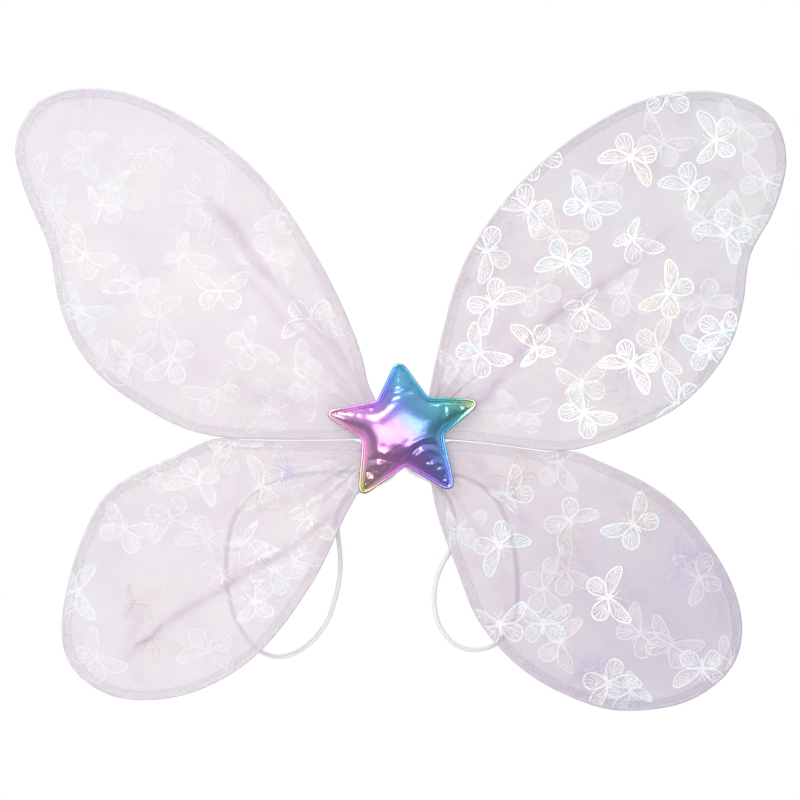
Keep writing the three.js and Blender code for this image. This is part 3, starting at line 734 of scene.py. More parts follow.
def print_on(cloth, prints, facing, material, name):
    """Foil ribbons that follow one layer of cloth, a little proud of its outer side."""
    surface = surface_of(cloth)
    points, faces, colours, solidity = [], [], [], []
    for x, z, heading, look, turned in prints:
        near, far, strength = FOIL_LOOKS[look]
        if x < 0:
            strength *= LEFT_FADE
        elif z < 0:
            strength *= LOW_FADE
        turn = math.radians(heading - 90)
        for line, width, side in butterfly_lines():
            flat = PRINT_SIZE * line * (turned if side < 0 else 1, 1)
            steps = max(2, int(np.linalg.norm(np.diff(flat, axis=0), axis=1).sum() * MM / STEP) + 1)
            run = run_along(flat)
            at = np.linspace(0, run[-1], steps)
            flat = np.stack([np.interp(at, run, flat[:, k]) for k in (0, 1)], axis=1)
            along = np.gradient(flat, axis=0)
            along /= np.maximum(np.linalg.norm(along, axis=1), 1e-9)[:, None]
            across = np.stack([-along[:, 1], along[:, 0]], axis=1)
            swell = 0.75 + 0.25 * np.sin(np.linspace(0, math.pi, steps))
            last = None
            for k in range(steps):
                pair = []
                for edge in (-0.5, 0.5):
                    u, v = flat[k] + across[k] * edge * width * swell[k]
                    spot = on_cloth(surface, facing, x, z, turn, u, v)
                    if spot is not None:
                        pair.append(spot)
                if len(pair) < 2:
                    last = None
                    continue
                reach = min(float(np.hypot(*flat[k])) / 22, 1)
                colour = np.array(near) * (1 - reach) + np.array(far) * reach
                points += pair
                colours += [colour, colour]
                solidity += [strength, strength]
                if last is not None:
                    faces.append((last, last + 1, last + 3, last + 2))
                last = len(points) - 2
        for lobe in (FORE_WING, HIND_WING):
            for side in (turned, -1):
                rim = smooth_line([(u, 0, v) for u, v in lobe + lobe[:1]], 2)[:-1, [0, 2]]
                rim = PRINT_SIZE * rim * (side, 1)
                middle = rim.mean(axis=0)
                grid = [[on_cloth(surface, facing, x, z, turn, *(middle + (edge - middle) * share))
                         for edge in rim] for share in (0.04, 0.35, 0.68, 0.98)]
                first = len(points)
                if any(spot is None for row in grid for spot in row):
                    continue
                points += [spot for row in grid for spot in row]
                colours += [far] * (4 * len(rim))
                solidity += [strength * FILM] * (4 * len(rim))
                faces += [(first + r * len(rim) + k, first + r * len(rim) + (k + 1) % len(rim),
                           first + (r + 1) * len(rim) + (k + 1) % len(rim), first + (r + 1) * len(rim) + k)
                          for r in range(3) for k in range(len(rim))]
    used = sorted({i for face in faces for i in face})
    place = {old: new for new, old in enumerate(used)}
    faces = [[place[i] for i in face] for face in faces]
    piece = new_piece(name, [points[i] for i in used], faces, material, False)
    tint(piece, np.array([colours[i] for i in used]))
    mark(piece, [solidity[i] for i in used], "solid")
    return piece


def pearl_foil():
    material, tree, skin = new_finish("pearl_foil", {"Roughness": 0.3, "Metallic": 0.1,
                                                     "Coat Weight": 0.2, "Coat Roughness": 0.2})
    colour = add_node(tree, "Attribute", attribute_name="dye_and_painted_light")
    solid = add_node(tree, "Attribute", attribute_name="solid")
    place = add_node(tree, "TexCoord")
    drift = add_node(tree, "TexNoise", {"Scale": 90, "Detail": 3})
    pearl = colour_ramp(tree, ((0.36, (0.90, 0.96, 1.0)), (0.5, (1.0, 1.0, 1.0)), (0.64, (1.0, 0.96, 0.95))))
    washed = add_node(tree, "Mix", {"Factor": 1}, data_type="RGBA", blend_type="MULTIPLY")
    cracks = add_node(tree, "TexNoise", {"Scale": 1100, "Detail": 2})
    worn = colour_ramp(tree, ((0.3, (0.45, 0.45, 0.45)), (0.46, (1, 1, 1))))
    cover = add_node(tree, "Math", operation="MULTIPLY")
    connect(tree, (place, "Object", drift, "Vector"), (place, "Object", cracks, "Vector"),
            (drift, "Fac", pearl, "Fac"), (colour, "Color", washed, "A"), (pearl, "Color", washed, "B"),
            (washed, "Result", skin, "Base Color"), (cracks, "Fac", worn, "Fac"),
            (worn, "Color", cover, 0), (solid, "Fac", cover, 1), (cover, 0, skin, "Alpha"))
    return material


foil = pearl_foil()
for number, wing in enumerate(WING_NAMES):
    front = print_on(layers[wing, -1], PRINTS[wing], -1, foil, f"{wing}_front_butterflies")
    draw = np.random.default_rng(40 + number)
    loop = outlines[wing] / MM
    low, high = loop.min(axis=0), loop.max(axis=0)
    scattered = []
    while len(scattered) < BACK_PRINTS:
        x, z = draw.uniform(low[0], high[0]), draw.uniform(low[2], high[2])
        if all(math.hypot(x - other[0], z - other[1]) > 26 for other in scattered):
            look = ("white", "cyan", "blush")[len(scattered) % 3]
            scattered.append((x, z, draw.uniform(0, 360), look, 0.9))
        elif draw.uniform() < 0.02:
            break
    back = print_on(layers[wing, 1], scattered, 1, foil, f"{wing}_back_butterflies")
    for piece, cloth_slot in ((front, "organza"), (back, "organza_back")):
        bend_with_wing(piece)


# ---- hems ----------------------------------------------------------------------------------------
# The two layers' edges are turned in round the wire, between the layers, and run through with one row
# of lilac thread. The turning is a narrow band of the same organza, so it reads darker and pinker.
HEM_WIDTH = 4.6 * MM
HEM_START = 1.1 * MM
HEM_FOLD = 0.28 * MM           # the rolled raw edge
STITCH = 2.3 * MM
STITCH_GAP = 0.9 * MM
THREAD = 0.18 * MM


def hem_cloth():
    material = organza_cloth("turned_hem", 0.26)
    tree = material.node_tree
    bunched_and_crease_shade_tint = next(n for n in tree.nodes if n.type == "MIX" and n.blend_type == "MIX")
    bunched_and_crease_shade_tint.inputs["B"].default_value = (0.74, 0.55, 0.68, 1)
    return material


def thread_paint():
    material, tree, skin = new_finish("lilac_thread", {"Roughness": 0.6, "Sheen Weight": 0.4})
    place = add_node(tree, "TexCoord")
    ply = add_node(tree, "TexWave", {"Scale": 900}, bands_direction="DIAGONAL")
    shade = colour_ramp(tree, ((0, (0.76, 0.70, 0.78)), (1, (0.88, 0.84, 0.90))))
    connect(tree, (place, "Object", ply, "Vector"), (ply, "Fac", shade, "Fac"),
            (shade, "Color", skin, "Base Color"))
    return material


def bead(start, end, radius, sides=5):
    """A thin bar between two points, tapered to both ends: one stitch."""
    start, end = np.asarray(start), np.asarray(end)
    along = (end - start) / np.linalg.norm(end - start)
    across = np.cross(along, (0, 1, 0))
    across /= np.linalg.norm(across)
    upward = np.cross(across, along)
    points, faces = [], []
    for share, thick in ((0, 0.25), (0.18, 1), (0.82, 1), (1, 0.25)):
        for k in range(sides):
            a = 2 * math.pi * k / sides
            points.append(start + (end - start) * share
                          + radius * thick * (math.cos(a) * across + math.sin(a) * upward))
    for ring in range(3):
        faces += [(ring * sides + k, ring * sides + (k + 1) % sides,
                   (ring + 1) * sides + (k + 1) % sides, (ring + 1) * sides + k) for k in range(sides)]
    faces += [tuple(reversed(range(sides))), tuple(range(3 * sides, 4 * sides))]
    return points, faces


hem_organza = hem_cloth()
lilac_thread = thread_paint()
for number, wing in enumerate(WING_NAMES):
    loop = outlines[wing]
    inward = inward_directions(loop)
    open_end = np.abs(loop[:, 0]) < 13.5 * MM
    rows = []
    for step in np.linspace(HEM_START, HEM_WIDTH, 5):
        flat = loop[:, [0, 2]] + inward * step
        wave = 0.16 * MM * np.sin(np.arange(AROUND) * 0.9 + 3 * step / MM)
        rows.append(np.stack([flat[:, 0], bow(flat[:, 0]) + wave, flat[:, 1]], axis=1))
    for turned in (30, 90, 150, 210, 260):
        a = math.radians(turned)
        wobble = 0.25 * MM * soft_noise(loop[:, 0], loop[:, 2], 25 * MM, 70 + number)
        flat = loop[:, [0, 2]] + inward * (HEM_WIDTH + wobble + HEM_FOLD * math.sin(a))[:, None]
        rows.append(np.stack([flat[:, 0], bow(flat[:, 0]) - HEM_FOLD * (1 - math.cos(a)) + 0.1 * MM,
                              flat[:, 1]], axis=1))
    points = np.vstack(rows)
    faces = [(r * AROUND + k, r * AROUND + (k + 1) % AROUND, (r + 1) * AROUND + (k + 1) % AROUND,
              (r + 1) * AROUND + k)
             for r in range(len(rows) - 1) for k in range(AROUND)
             if not (open_end[k] and open_end[(k + 1) % AROUND])]
    hem = new_piece(f"{wing}_turned_hem", points, faces, hem_organza)
    tint(hem, dye_and_painted_light_at(points[:, 0], points[:, 2]))
    mark(hem, np.full(len(points), 0.35))
    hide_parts(f"{wing}_hem")
    bend_with_wing(hem)

    seam = loop[:, [0, 2]] + inward * (HEM_WIDTH - 0.9 * MM)
    seam = np.stack([seam[:, 0], np.zeros(AROUND), seam[:, 1]], axis=1)[2:-2]
    run = run_along(seam)
    points, faces = [], []
    for facing in (-1, 1):
        cloth = layers[wing, facing]
        surface = surface_of(cloth)
        for begin in np.arange(8 * MM, run[-1] - 8 * MM, STITCH + STITCH_GAP):
            ends = []
            for at in (begin, begin + STITCH):
                x, z = np.interp(at, run, seam[:, 0]), np.interp(at, run, seam[:, 2])
                hit, _, _, _ = surface.ray_cast((x, facing * 0.2, z), (0, -facing, 0))
                if hit is not None:
                    ends.append((x, hit.y + facing * 0.1 * MM, z))
            if len(ends) == 2:
                made, sides = bead(ends[0], ends[1], THREAD / 2)
                faces += [[i + len(points) for i in face] for face in sides]
                points += made
    stitches = new_piece(f"{wing}_hem_stitches", points, faces, lilac_thread)
    bend_with_wing(stitches)


# ---- gathered roots ------------------------------------------------------------------------------
# Where each wing goes into the hub its cloth is bunched into knife pleats, several layers deep, and
# clamped under the front pad. The pleats open out and die away a few centimetres into the wing.
GATHER_REACH = 40 * MM
PLEATS = 13
gathered_organza = organza_cloth("gathered_organza", 0.12)
for number, wing in enumerate(WING_NAMES):
    side = -1 if wing.endswith("left") else 1
    root_x, root_z = ROOTS[wing][0] * MM, ROOTS[wing][1] * MM
    loop = outlines[wing]
    flat = loop[:, [0, 2]] + inward_directions(loop) * 2.4 * MM
    reach = np.hypot(loop[:, 0] - root_x, loop[:, 2] - root_z)
    near = np.flatnonzero((reach > 0.8 * GATHER_REACH) & (reach < 1.25 * GATHER_REACH))
    angles = np.arctan2(flat[near, 1] - root_z, (flat[near, 0] - root_x) * side)
    low, high = angles.min(), angles.max()
    spokes = 22 * PLEATS // 2 * 2
    fan = np.linspace(low + 0.03, high - 0.03, spokes)
    out_steps = 22
    points, bunching_and_crease_shade = [], []
    for step in range(out_steps):
        share = step / (out_steps - 1)
        out = share * GATHER_REACH * (1 - 0.10 * np.abs(np.sin(PLEATS * fan * 2.1 + number)))
        fold = np.mod((fan - low) / (high - low) * PLEATS, 1)
        saw = 0.4 * np.sin(2 * math.pi * fold)
        x = root_x + side * out * np.cos(fan)
        z = root_z + out * np.sin(fan)
        squeeze = ease(np.abs(x), 12 * MM, 26 * MM)
        y = bow(x) + saw * (0.5 + 0.5 * squeeze) * MM * (1 - 0.55 * share)
        points.append(np.stack([x, y, z], axis=1))
        bunching_and_crease_shade.append(np.full(spokes, 1 - share) + 0.25 * (saw > 0.1) * (1 - share))
    points, bunching_and_crease_shade = np.vstack(points[1:]), np.concatenate(bunching_and_crease_shade[1:])
    faces = [(a * spokes + k, a * spokes + k + 1, (a + 1) * spokes + k + 1, (a + 1) * spokes + k)
             for a in range(out_steps - 2) for k in range(spokes - 1)]
    gather = new_piece(f"{wing}_gathered_root", points, faces, gathered_organza)
    tint(gather, dye_and_painted_light_at(points[:, 0], points[:, 2]))
    mark(gather, bunching_and_crease_shade)
    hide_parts(f"{wing}_gather")
    bend_with_wing(gather)


# the names of what each layer of organza carries: its own print, and on the front one the hem, stitches and
# gathers as well; the lists are not used further
for wing in WING_NAMES:
    loop = outlines[wing]
    for facing, face in ((-1, "front"), (1, "back")):
        carried = [f"{wing}_{face}_butterflies"]
        if face == "front":
            carried += [f"{wing}_turned_hem", f"{wing}_hem_stitches", f"{wing}_gathered_root"]


# ---- hub layers ----------------------------------------------------------------------------------
# A card stiffener that the wires and the elastic are glued to, a felt patch glued over it on the
# wearer's side and whipped round its edge, and a foam pad in front that lifts the star off the pleats.
PATCH_STITCHES = 44


def rounded_plate(node, name, material, crown, edge, rings=7):
    """A cut piece of sheet with softened edges in a node's place, its front and back crowned a little."""
    low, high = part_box(node)
    half_w, half_h = (high.x - low.x) / 2, (high.z - low.z) / 2
    mid_x, mid_y, mid_z = (low.x + high.x) / 2, (low.y + high.y) / 2, (low.z + high.z) / 2
    thick = (high.y - low.y) / 2
    corner = min(13 * MM, half_w - 0.5 * MM)
    turns = np.linspace(0, 2 * math.pi, 96, endpoint=False)
    centre_x = np.sign(np.cos(turns)) * (half_w - corner)
    centre_z = np.sign(np.sin(turns)) * (half_h - corner)
    rim_x = centre_x + corner * np.cos(turns)
    rim_z = centre_z + corner * np.sin(turns)
    rows = []
    for share in np.linspace(0.08, 1, rings):
        inset = 1 - edge / half_w
        rows.append((share * inset, -thick + crown * share**3))
    for turned in (35, 65, 90, 115, 145):
        a = math.radians(turned)
        rows.append((1 - edge / half_w * (1 - math.sin(a)), -(thick - crown) * math.cos(a)))
    for share in np.linspace(1, 0.08, rings):
        rows.append((share * (1 - edge / half_w), thick - crown * share**3))
    points = [(mid_x, mid_y - thick, mid_z)]
    for share, y in rows:
        points += [(mid_x + rx * share, mid_y + y, mid_z + rz * share) for rx, rz in zip(rim_x, rim_z)]
    points.append((mid_x, mid_y + thick, mid_z))
    count = len(turns)
    faces = [(0, 1 + k, 1 + (k + 1) % count) for k in range(count)]
    for row in range(len(rows) - 1):
        a = 1 + row * count
        faces += [(a + k, a + count + k, a + count + (k + 1) % count, a + (k + 1) % count)
                  for k in range(count)]
    a = 1 + (len(rows) - 1) * count
    faces += [(a + k, len(points) - 1, a + (k + 1) % count) for k in range(count)]
    piece = new_piece(name, points, faces, material)
    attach(piece, "hub")
    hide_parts(node)
    return piece, np.stack([mid_x + rim_x, np.full(count, mid_y + thick), mid_z + rim_z], axis=1)


def fibrous(name, dark, light, grain, roughness, height):
    """Cloth, card or foam: a mottled colour over a fine uneven grain."""
    material, tree, skin = new_finish(name, {"Roughness": roughness, "Sheen Weight": 0.25})
    place = add_node(tree, "TexCoord")
    fibres = add_node(tree, "TexNoise",
                      {"Scale": grain, "Detail": 8, "Roughness": 0.7, "Distortion": 0.8})
    pits = add_node(tree, "TexVoronoi", {"Scale": grain * 1.7})
    mixed = add_node(tree, "Math", {1: 0.35}, operation="MULTIPLY_ADD")
    shade = colour_ramp(tree, ((0.35, dark), (0.75, light)))
    raised = add_node(tree, "Bump", {"Strength": 0.6, "Distance": height})
    connect(tree, (place, "Object", fibres, "Vector"), (place, "Object", pits, "Vector"),
            (pits, "Distance", mixed, 0), (fibres, "Fac", mixed, 2), (mixed, 0, shade, "Fac"),
            (shade, "Color", skin, "Base Color"), (mixed, 0, raised, "Height"),
            (raised, "Normal", skin, "Normal"))
    return material


felt = fibrous("lilac_felt", (0.60, 0.50, 0.64), (0.80, 0.72, 0.83), 420, 0.95, 0.3 * MM)
card = fibrous("grey_card", (0.42, 0.40, 0.38), (0.58, 0.56, 0.53), 700, 0.9, 0.1 * MM)
foam = fibrous("white_foam", (0.72, 0.70, 0.74), (0.90, 0.89, 0.92), 900, 0.8, 0.2 * MM)

patch, patch_rim = rounded_plate("back_patch", "felt_back_patch", felt, 0.12 * MM, 0.55 * MM)
stiffener, _ = rounded_plate("core_plate", "card_stiffener", card, 0.02 * MM, 0.2 * MM)
pad, _ = rounded_plate("front_pad", "foam_front_pad", foam, 0.3 * MM, 1.1 * MM)

points, faces = [], []
patch_middle = patch_rim.mean(axis=0)
closed_rim = np.vstack([patch_rim, patch_rim[:1]])
run = run_along(closed_rim)
for at in np.linspace(0, run[-1], PATCH_STITCHES, endpoint=False):
    foot = np.array([np.interp(at, run, closed_rim[:, k]) for k in range(3)])
    lean = np.array([np.interp((at + 1.1 * MM) % run[-1], run, closed_rim[:, k]) for k in range(3)])
    inner = lean + (patch_middle - lean) / np.linalg.norm(patch_middle - lean) * 2.4 * MM
    start = foot + (patch_middle - foot) / np.linalg.norm(patch_middle - foot) * 0.3 * MM
    made, sides = bead(start + (0, -0.15 * MM, 0), inner + (0, 0.02 * MM, 0), 0.28 * MM, 6)
    faces += [[i + len(points) for i in face] for face in sides]
    points += made
whip_stitches = new_piece("patch_whip_stitches", points, faces, lilac_thread)
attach(whip_stitches, "hub")

for side_name, side in (("left", -1), ("right", 1)):
    bent = [(4, STRAP_DEPTH, -20.8), (4, STRAP_DEPTH, -12), (4.7, STRAP_DEPTH, -8), (6.75, STRAP_DEPTH, -6),
            (8.8, STRAP_DEPTH, -8), (9.5, STRAP_DEPTH, -12), (9.5, STRAP_DEPTH, -19)]
    root = round_cord(f"{side_name}_clamped_elastic", smooth_line(np.array(bent) * MM * (side, 1, 1), 6),
                      STRAP_DIAMETER, elastic_cover)
    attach(root, "hub")
    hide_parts(f"{side_name}_strap_root")


# ---- padded star ---------------------------------------------------------------------------------
# The star is a puffed cover of foil-faced leatherette in rainbow colours, welded flat to its backing
# round the rim and filled with polyester wadding. The loose foil buckles where the arms meet.
STAR_RIM = 2.5 * MM
STAR_SPACING = 1.25 * MM
# each tip's outermost place and the radius it's rounded to, and the inner corners after each, in
# millimetres
STAR_TIPS = [(-2.0, 43.3, 4.6), (-46.9, 11.6, 3.0), (-25.4, -38.4, 3.8), (30.8, -35.4, 4.4),
             (46.9, 18.6, 3.8)]
STAR_NOTCHES = [(-15.8, 19.3), (-24.9, -4.6), (2.7, -21.4), (26.2, -1.9), (16.3, 21.9)]
STAR_RISE = 12.3 * MM          # how far the dome stands off the rim
PRESSURE = 12.0                # the filling's push on the cover
SLACK = 0.035                  # how much wider the cover is cut than the star
PUFF_FRAMES = 26
EVENING = 150                  # how many times the buckles are evened out
KEPT_BUCKLES = 0.34            # share of the buckles that stays in the two lower arms
SEAM_REACH = 0.05 * MM         # what is nearer to the seam than this is welded down
COVER_GAUGE = 1.1 * MM         # the cover's welded rim lies this far in front of the backing
BACKING_GAUGE = 0.75 * MM
# the foil's colours, and how far slantwise across the star each of them lies
RAINBOW = [
    (0.00, (0.50, 0.47, 0.20)), (0.08, (0.56, 0.46, 0.30)), (0.17, (0.72, 0.44, 0.58)),
    (0.30, (0.74, 0.34, 0.72)), (0.43, (0.52, 0.26, 0.74)), (0.53, (0.26, 0.30, 0.80)),
    (0.63, (0.16, 0.42, 0.76)), (0.75, (0.12, 0.48, 0.58)), (0.86, (0.18, 0.52, 0.42)),
    (1.00, (0.86, 0.82, 0.44))]
# creases in the cover: a line in millimetres, how deep, and how wide
STAR_CREASES = [
    ([(2.0, -19.5), (6.5, -13.0), (12.0, -8.6), (18.5, -7.2), (26.0, -10.4)], 1.5, 1.5),
    ([(-13.0, 22.6), (-4.0, 24.4), (5.0, 25.4), (11.0, 27.0)], 0.8, 1.4),
    ([(25.4, 19.6), (26.4, 14.8), (26.2, 10.0)], 1.1, 1.3),
    ([(33.0, 18.8), (36.4, 14.6), (37.6, 10.6)], 0.9, 1.2),
    ([(-26.0, -18.6), (-17.0, -16.4), (-8.0, -17.6), (0.5, -20.5)], 1.0, 1.5),
    ([(-24.6, -27.6), (-17.6, -23.6), (-10.6, -23.8)], 0.8, 1.3),
    ([(8.6, -25.0), (12.4, -19.8), (17.8, -17.6)], 0.9, 1.2),
    ([(17.0, -30.0), (18.8, -24.4), (24.4, -20.4)], 0.8, 1.2)]

star_low, star_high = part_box("star_back")
rim_y = star_low.y - COVER_GAUGE
EDGE_STEPS = 240


def tangent_place(corner, centre, radius, outward):
    """Where a straight side from a corner meets the arc of a tip."""
    away = corner - centre
    reach = np.linalg.norm(away)
    away /= reach
    angle = math.acos(radius / reach)
    turned = [np.array([away[0] * math.cos(a) - away[1] * math.sin(a),
                        away[0] * math.sin(a) + away[1] * math.cos(a)]) for a in (angle, -angle)]
    return centre + radius * max(turned, key=lambda t: float(t @ outward))


def softened(line, rounds):
    """The same closed line with its corners eased, each round a little more."""
    for _ in range(rounds):
        line = (np.roll(line, 1, axis=0) + 2 * line + np.roll(line, -1, axis=0)) / 4
    return line


sides = []
for k, (tip_x, tip_z, radius) in enumerate(STAR_TIPS):
    tip = np.array([tip_x, tip_z])
    before, after = np.array(STAR_NOTCHES[k - 1]), np.array(STAR_NOTCHES[k])
    outward = tip - (before + after) / 2
    outward /= np.linalg.norm(outward)
    centre = tip - outward * radius
    ends = [tangent_place(notch, centre, radius, outward) for notch in (before, after)]
    first, last = (math.atan2(*(end - centre)[::-1]) for end in ends)
    turn = (last - first) % (2 * math.pi)
    sides += [centre + radius * np.array([math.cos(first + turn * t), math.sin(first + turn * t)])
              for t in np.linspace(0, 1, 13)]
    sides.append(after)
sides = np.array(sides) * MM
star_outline = resampled(np.stack([sides[:, 0], np.zeros(len(sides)), sides[:, 1]], axis=1), EDGE_STEPS)
star_outline = softened(star_outline, 3)
star_edge = star_outline[:, [0, 2]]
welded = star_edge + inward_directions(star_outline) * STAR_RIM
clear = np.sqrt(((welded[:, None] - star_edge[None]) ** 2).sum(axis=2)).min(axis=1) > 0.97 * STAR_RIM
welded = np.stack([welded[clear, 0], np.zeros(clear.sum()), welded[clear, 1]], axis=1)
welded = resampled(welded, 3 * EDGE_STEPS)
welded = softened(welded, 14)
bearing = np.arctan2(welded[:, 2], welded[:, 0])
reach = np.hypot(welded[:, 0], welded[:, 2])
edge_bearing = np.arctan2(star_edge[:, 1], star_edge[:, 0])
order = np.argsort(bearing)
seam_reach = np.interp(edge_bearing, bearing[order], reach[order], period=2 * math.pi)
seam_line = np.stack([seam_reach * np.cos(edge_bearing), seam_reach * np.sin(edge_bearing)], axis=1)


def inside(polygon, places):
    """Which places lie inside a closed polygon."""
    crossings = np.zeros(len(places), int)
    for (ax, az), (bx, bz) in zip(polygon, np.roll(polygon, -1, axis=0)):
        spans = (az > places[:, 1]) != (bz > places[:, 1])
        at = (bx - ax) * (places[:, 1] - az) / (bz - az if bz != az else 1e-12) + ax
        crossings += spans & (places[:, 0] < at)
    return crossings % 2 == 1


spread_x, spread_z = np.meshgrid(np.arange(star_low.x, star_high.x, STAR_SPACING),
                                 np.arange(star_low.z, star_high.z, STAR_SPACING * 0.866))
spread_x[1::2] += STAR_SPACING / 2
lattice = np.stack([spread_x.ravel(), spread_z.ravel()], axis=1)
lattice = lattice[inside(seam_line, lattice)]
from_seam = np.sqrt(((lattice[:, None] - seam_line[None]) ** 2).sum(axis=2)).min(axis=1)
lattice = lattice[from_seam > 0.6 * STAR_SPACING]
count = len(seam_line)
cut = delaunay_2d_cdt([Vector(p) for p in np.vstack([seam_line, lattice])],
                      [(k, (k + 1) % count) for k in range(count)], [], 1, 1e-7)
flat_cover = np.array([(p.x, p.y) for p in cut[0]])
cover_faces = []
for face in cut[2]:
    a, b, c = (flat_cover[corner] for corner in face)
    cover_faces.append(tuple(reversed(face)) if np.cross(b - a, c - a) < 0 else tuple(face))
seam_depth = np.sqrt(((flat_cover[:, None] - seam_line[None]) ** 2).sum(axis=2)).min(axis=1)
swell = np.sqrt(np.clip(seam_depth / (14 * MM), 0, 1))
start = np.stack([flat_cover[:, 0], rim_y - 5 * MM * swell, flat_cover[:, 1]], axis=1)
# the cover is cut flat, pinned along its seam and blown up; any material serves, as this is taken away
cloth_piece = new_piece("star_cover_cloth", start, cover_faces, felt)
on_seam = cloth_piece.vertex_groups.new(name="seam")
on_seam.add([int(i) for i in np.flatnonzero(seam_depth < SEAM_REACH)], 1, "REPLACE")
puff = cloth_piece.modifiers.new("puff", "CLOTH")
puff.settings.vertex_group_mass = "seam"
puff.settings.quality = 10
puff.settings.mass = 0.25
puff.settings.tension_stiffness = 40
puff.settings.compression_stiffness = 30
puff.settings.shear_stiffness = 12
puff.settings.bending_stiffness = 1.6
puff.settings.tension_damping = 12
puff.settings.compression_damping = 12
puff.settings.bending_damping = 1
puff.settings.air_damping = 3
puff.settings.use_pressure = True
puff.settings.uniform_pressure_force = PRESSURE
puff.settings.shrink_min = -SLACK
puff.settings.effector_weights.gravity = 0
puff.point_cache.frame_start = 1
puff.point_cache.frame_end = PUFF_FRAMES
for moment in range(1, PUFF_FRAMES + 1):
    bpy.context.scene.frame_set(moment)
shaped = cloth_piece.evaluated_get(bpy.context.evaluated_depsgraph_get())
puffed = np.array([v.co for v in shaped.data.vertices])
bpy.context.scene.frame_set(1)
bpy.data.objects.remove(cloth_piece)
rise = rim_y - puffed[:, 1]
# even out the small buckles of the puffed cover, most of all in the two smooth arms and the middle
joined = np.array([(face[k], face[(k + 1) % len(face)]) for face in cover_faces for k in range(len(face))])
neighbours = np.bincount(joined.ravel(), minlength=len(rise))
evened = rise ** 2
for _ in range(EVENING):
    pooled = np.zeros(len(rise))
    np.add.at(pooled, joined[:, 0], evened[joined[:, 1]])
    np.add.at(pooled, joined[:, 1], evened[joined[:, 0]])
    evened = np.where(seam_depth < SEAM_REACH, 0, 0.4 * evened + 0.6 * pooled / neighbours)
evened = np.sqrt(evened)
evened *= rise.max() / evened.max()
buckled = KEPT_BUCKLES * ease(-flat_cover[:, 1], 6 * MM, 26 * MM)
rise = evened + (rise - evened) * buckled
rise = STAR_RISE * (1 - (1 - np.clip(rise / rise.max(), 0, 1)) ** 1.5)
for line, sunk, half_width in STAR_CREASES:
    line = smooth_line([(px * MM, 0, pz * MM) for px, pz in line], 6)[:, [0, 2]]
    away, along = distance_to(line, flat_cover[:, 0], flat_cover[:, 1])
    fade = ease(along, -0.15, 0.25) * ease(1 - along, -0.15, 0.25) * ease(seam_depth, 0.5 * MM, 5 * MM)
    valley = np.exp(-(away / (half_width * MM)) ** 2)
    shoulder = np.exp(-((away - 2.4 * half_width * MM) / (1.3 * half_width * MM)) ** 2)
    rise += MM * sunk * (0.45 * shoulder - valley) * fade
rumple = soft_noise(flat_cover[:, 0], flat_cover[:, 1], 9 * MM, 81)
rumple += soft_noise(flat_cover[:, 0], flat_cover[:, 1], 5 * MM, 82)
lower = ease(-flat_cover[:, 1], 2 * MM, 22 * MM)
rise += (0.01 + 0.22 * lower) * MM * rumple * ease(seam_depth, 0.3 * MM, 4 * MM)
rise = np.clip(rise, 0, None)
rise[seam_depth < SEAM_REACH] = 0
cover_points = [(x, rim_y - up, z) for (x, z), up in zip(puffed[:, [0, 2]], rise)]
seam_ids = [int(np.argmin(((flat_cover - p) ** 2).sum(axis=1))) for p in seam_line]
# the rim from the seam outwards: how far across it, and how high: a pressed groove, a soft bead, the
# cut edge, and back in underneath
RIM_PROFILE = [(0.12, -0.12), (0.26, 0.02), (0.42, 0.40), (0.62, 0.55), (0.82, 0.42), (0.97, 0.0),
               (1.0, -0.5), (0.8, -0.78), (0.1, -0.78)]
previous = seam_ids
for share, up in RIM_PROFILE:
    ring = list(range(len(cover_points), len(cover_points) + count))
    cover_points += [(x, rim_y - up * MM, z) for x, z in seam_line + (star_edge - seam_line) * share]
    cover_faces += [(previous[k], previous[(k + 1) % count], ring[(k + 1) % count], ring[k])
                    for k in range(count)]
    previous = ring


def rainbow_foil():
    """Foil-faced leatherette: colours that change slantwise across the star over a fine leather grain."""
    material, tree, skin = new_finish("rainbow_foil_leatherette", {"Metallic": 0.92,
                                                                   "Coat Weight": 0.35,
                                                                   "Coat Roughness": 0.18})
    place = add_node(tree, "TexCoord")
    slant = add_node(tree, "VectorMath",
                     {1: (math.cos(math.radians(35)), 0, math.sin(math.radians(35)))},
                     operation="DOT_PRODUCT")
    drift = add_node(tree, "TexNoise", {"Scale": 60, "Detail": 3})
    wander = add_node(tree, "Math", {1: 10 * MM}, operation="MULTIPLY_ADD")
    stretch = add_node(tree, "MapRange", {"From Min": -42 * MM, "From Max": 58 * MM})
    ramp = colour_ramp(tree, RAINBOW)
    connect(tree, (place, "Object", slant, 0), (place, "Object", drift, "Vector"),
            (drift, "Fac", wander, 0), (slant, "Value", wander, 2), (wander, 0, stretch, "Value"),
            (stretch, "Result", ramp, "Fac"), (ramp, "Color", skin, "Base Color"))

    grain = add_node(tree, "TexVoronoi", {"Scale": 1000}, feature="DISTANCE_TO_EDGE")
    cells = add_node(tree, "Math", {1: 0.25}, operation="MINIMUM")
    rumples = add_node(tree, "TexNoise", {"Scale": 260, "Detail": 5, "Roughness": 0.6})
    heights = add_node(tree, "Math", {1: 0.9}, operation="MULTIPLY_ADD")
    raised = add_node(tree, "Bump", {"Strength": 0.5, "Distance": 0.17 * MM})
    gloss = add_node(tree, "MapRange", {"To Min": 0.15, "To Max": 0.28})
    connect(tree, (place, "Object", grain, "Vector"), (place, "Object", rumples, "Vector"),
            (grain, "Distance", cells, 0), (rumples, "Fac", heights, 0), (cells, 0, heights, 2),
            (heights, 0, raised, "Height"), (raised, "Normal", skin, "Normal"),
            (rumples, "Fac", gloss, "Value"), (gloss, "Result", skin, "Roughness"))
    return material


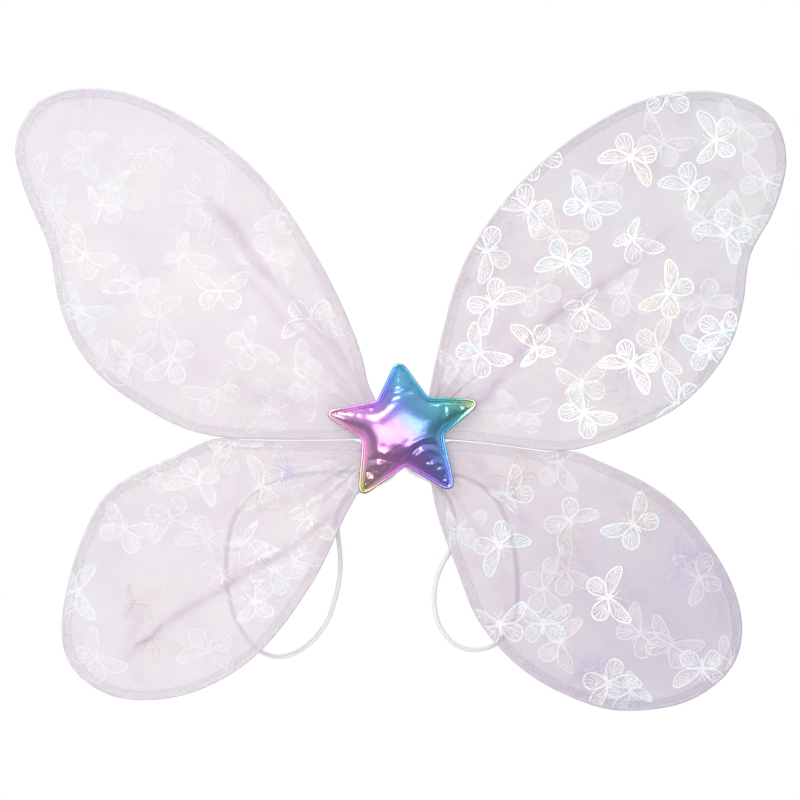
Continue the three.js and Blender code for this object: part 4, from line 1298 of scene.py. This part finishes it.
star_foil = rainbow_foil()
star = new_piece("padded_star_cover", cover_points, cover_faces, star_foil)
finer = star.modifiers.new("finer", "SUBSURF")
finer.levels = 1
finer.render_levels = 1
smoothed = bpy.data.meshes.new_from_object(star.evaluated_get(bpy.context.evaluated_depsgraph_get()))
star.modifiers.clear()
star.data = smoothed
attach(star, "hub")
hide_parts("star_cover")

wadding = fibrous("polyester_wadding", (0.78, 0.78, 0.80), (0.95, 0.95, 0.96), 240, 1.0, 0.6 * MM)
fill_inside = 0.985 * puffed[:, [0, 2]]
fill_points = [(x, rim_y - max(up * 0.85 - 0.8 * MM, 0), z) for (x, z), up in zip(fill_inside, rise)]
fill_back = len(fill_points)
fill_points += [(x, rim_y + 0.15 * MM, z) for x, z in fill_inside]
fill_faces = [face for face in cover_faces if max(face) < fill_back]
fill_faces += [tuple(i + fill_back for i in reversed(face)) for face in fill_faces]
for here, following in zip(seam_ids, seam_ids[1:] + seam_ids[:1]):
    fill_faces.append((following, here, here + fill_back, following + fill_back))
filling = new_piece("star_wadding", fill_points, fill_faces, wadding)
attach(filling, "hub")
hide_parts("star_stuffing")

vinyl = fibrous("white_star_backing", (0.74, 0.73, 0.76), (0.90, 0.89, 0.92), 500, 0.7, 0.1 * MM)
back_y = star_high.y
back_points, back_faces = [(0, back_y, 0)], [(0, 1 + (k + 1) % count, 1 + k) for k in range(count)]
# the backing's section: how far out from the middle, and how far in front of its back
BACKING_ROWS = [(0.5, 0.0), (0.985, 0.0), (1.0, 0.35 * MM), (0.985, BACKING_GAUGE), (0.5, BACKING_GAUGE)]
for share, up in BACKING_ROWS:
    back_points += [(x * share, back_y - up, z * share) for x, z in star_edge]
for row in range(len(BACKING_ROWS) - 1):
    a = 1 + row * count
    back_faces += [(a + k, a + (k + 1) % count, a + count + (k + 1) % count, a + count + k)
                   for k in range(count)]
last_row = 1 + (len(BACKING_ROWS) - 1) * count
back_points.append((0, back_y - BACKING_GAUGE, 0))
back_faces += [(len(back_points) - 1, last_row + k, last_row + (k + 1) % count) for k in range(count)]
backing = new_piece("star_vinyl_backing", back_points, back_faces, vinyl)
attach(backing, "hub")
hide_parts("star_back")
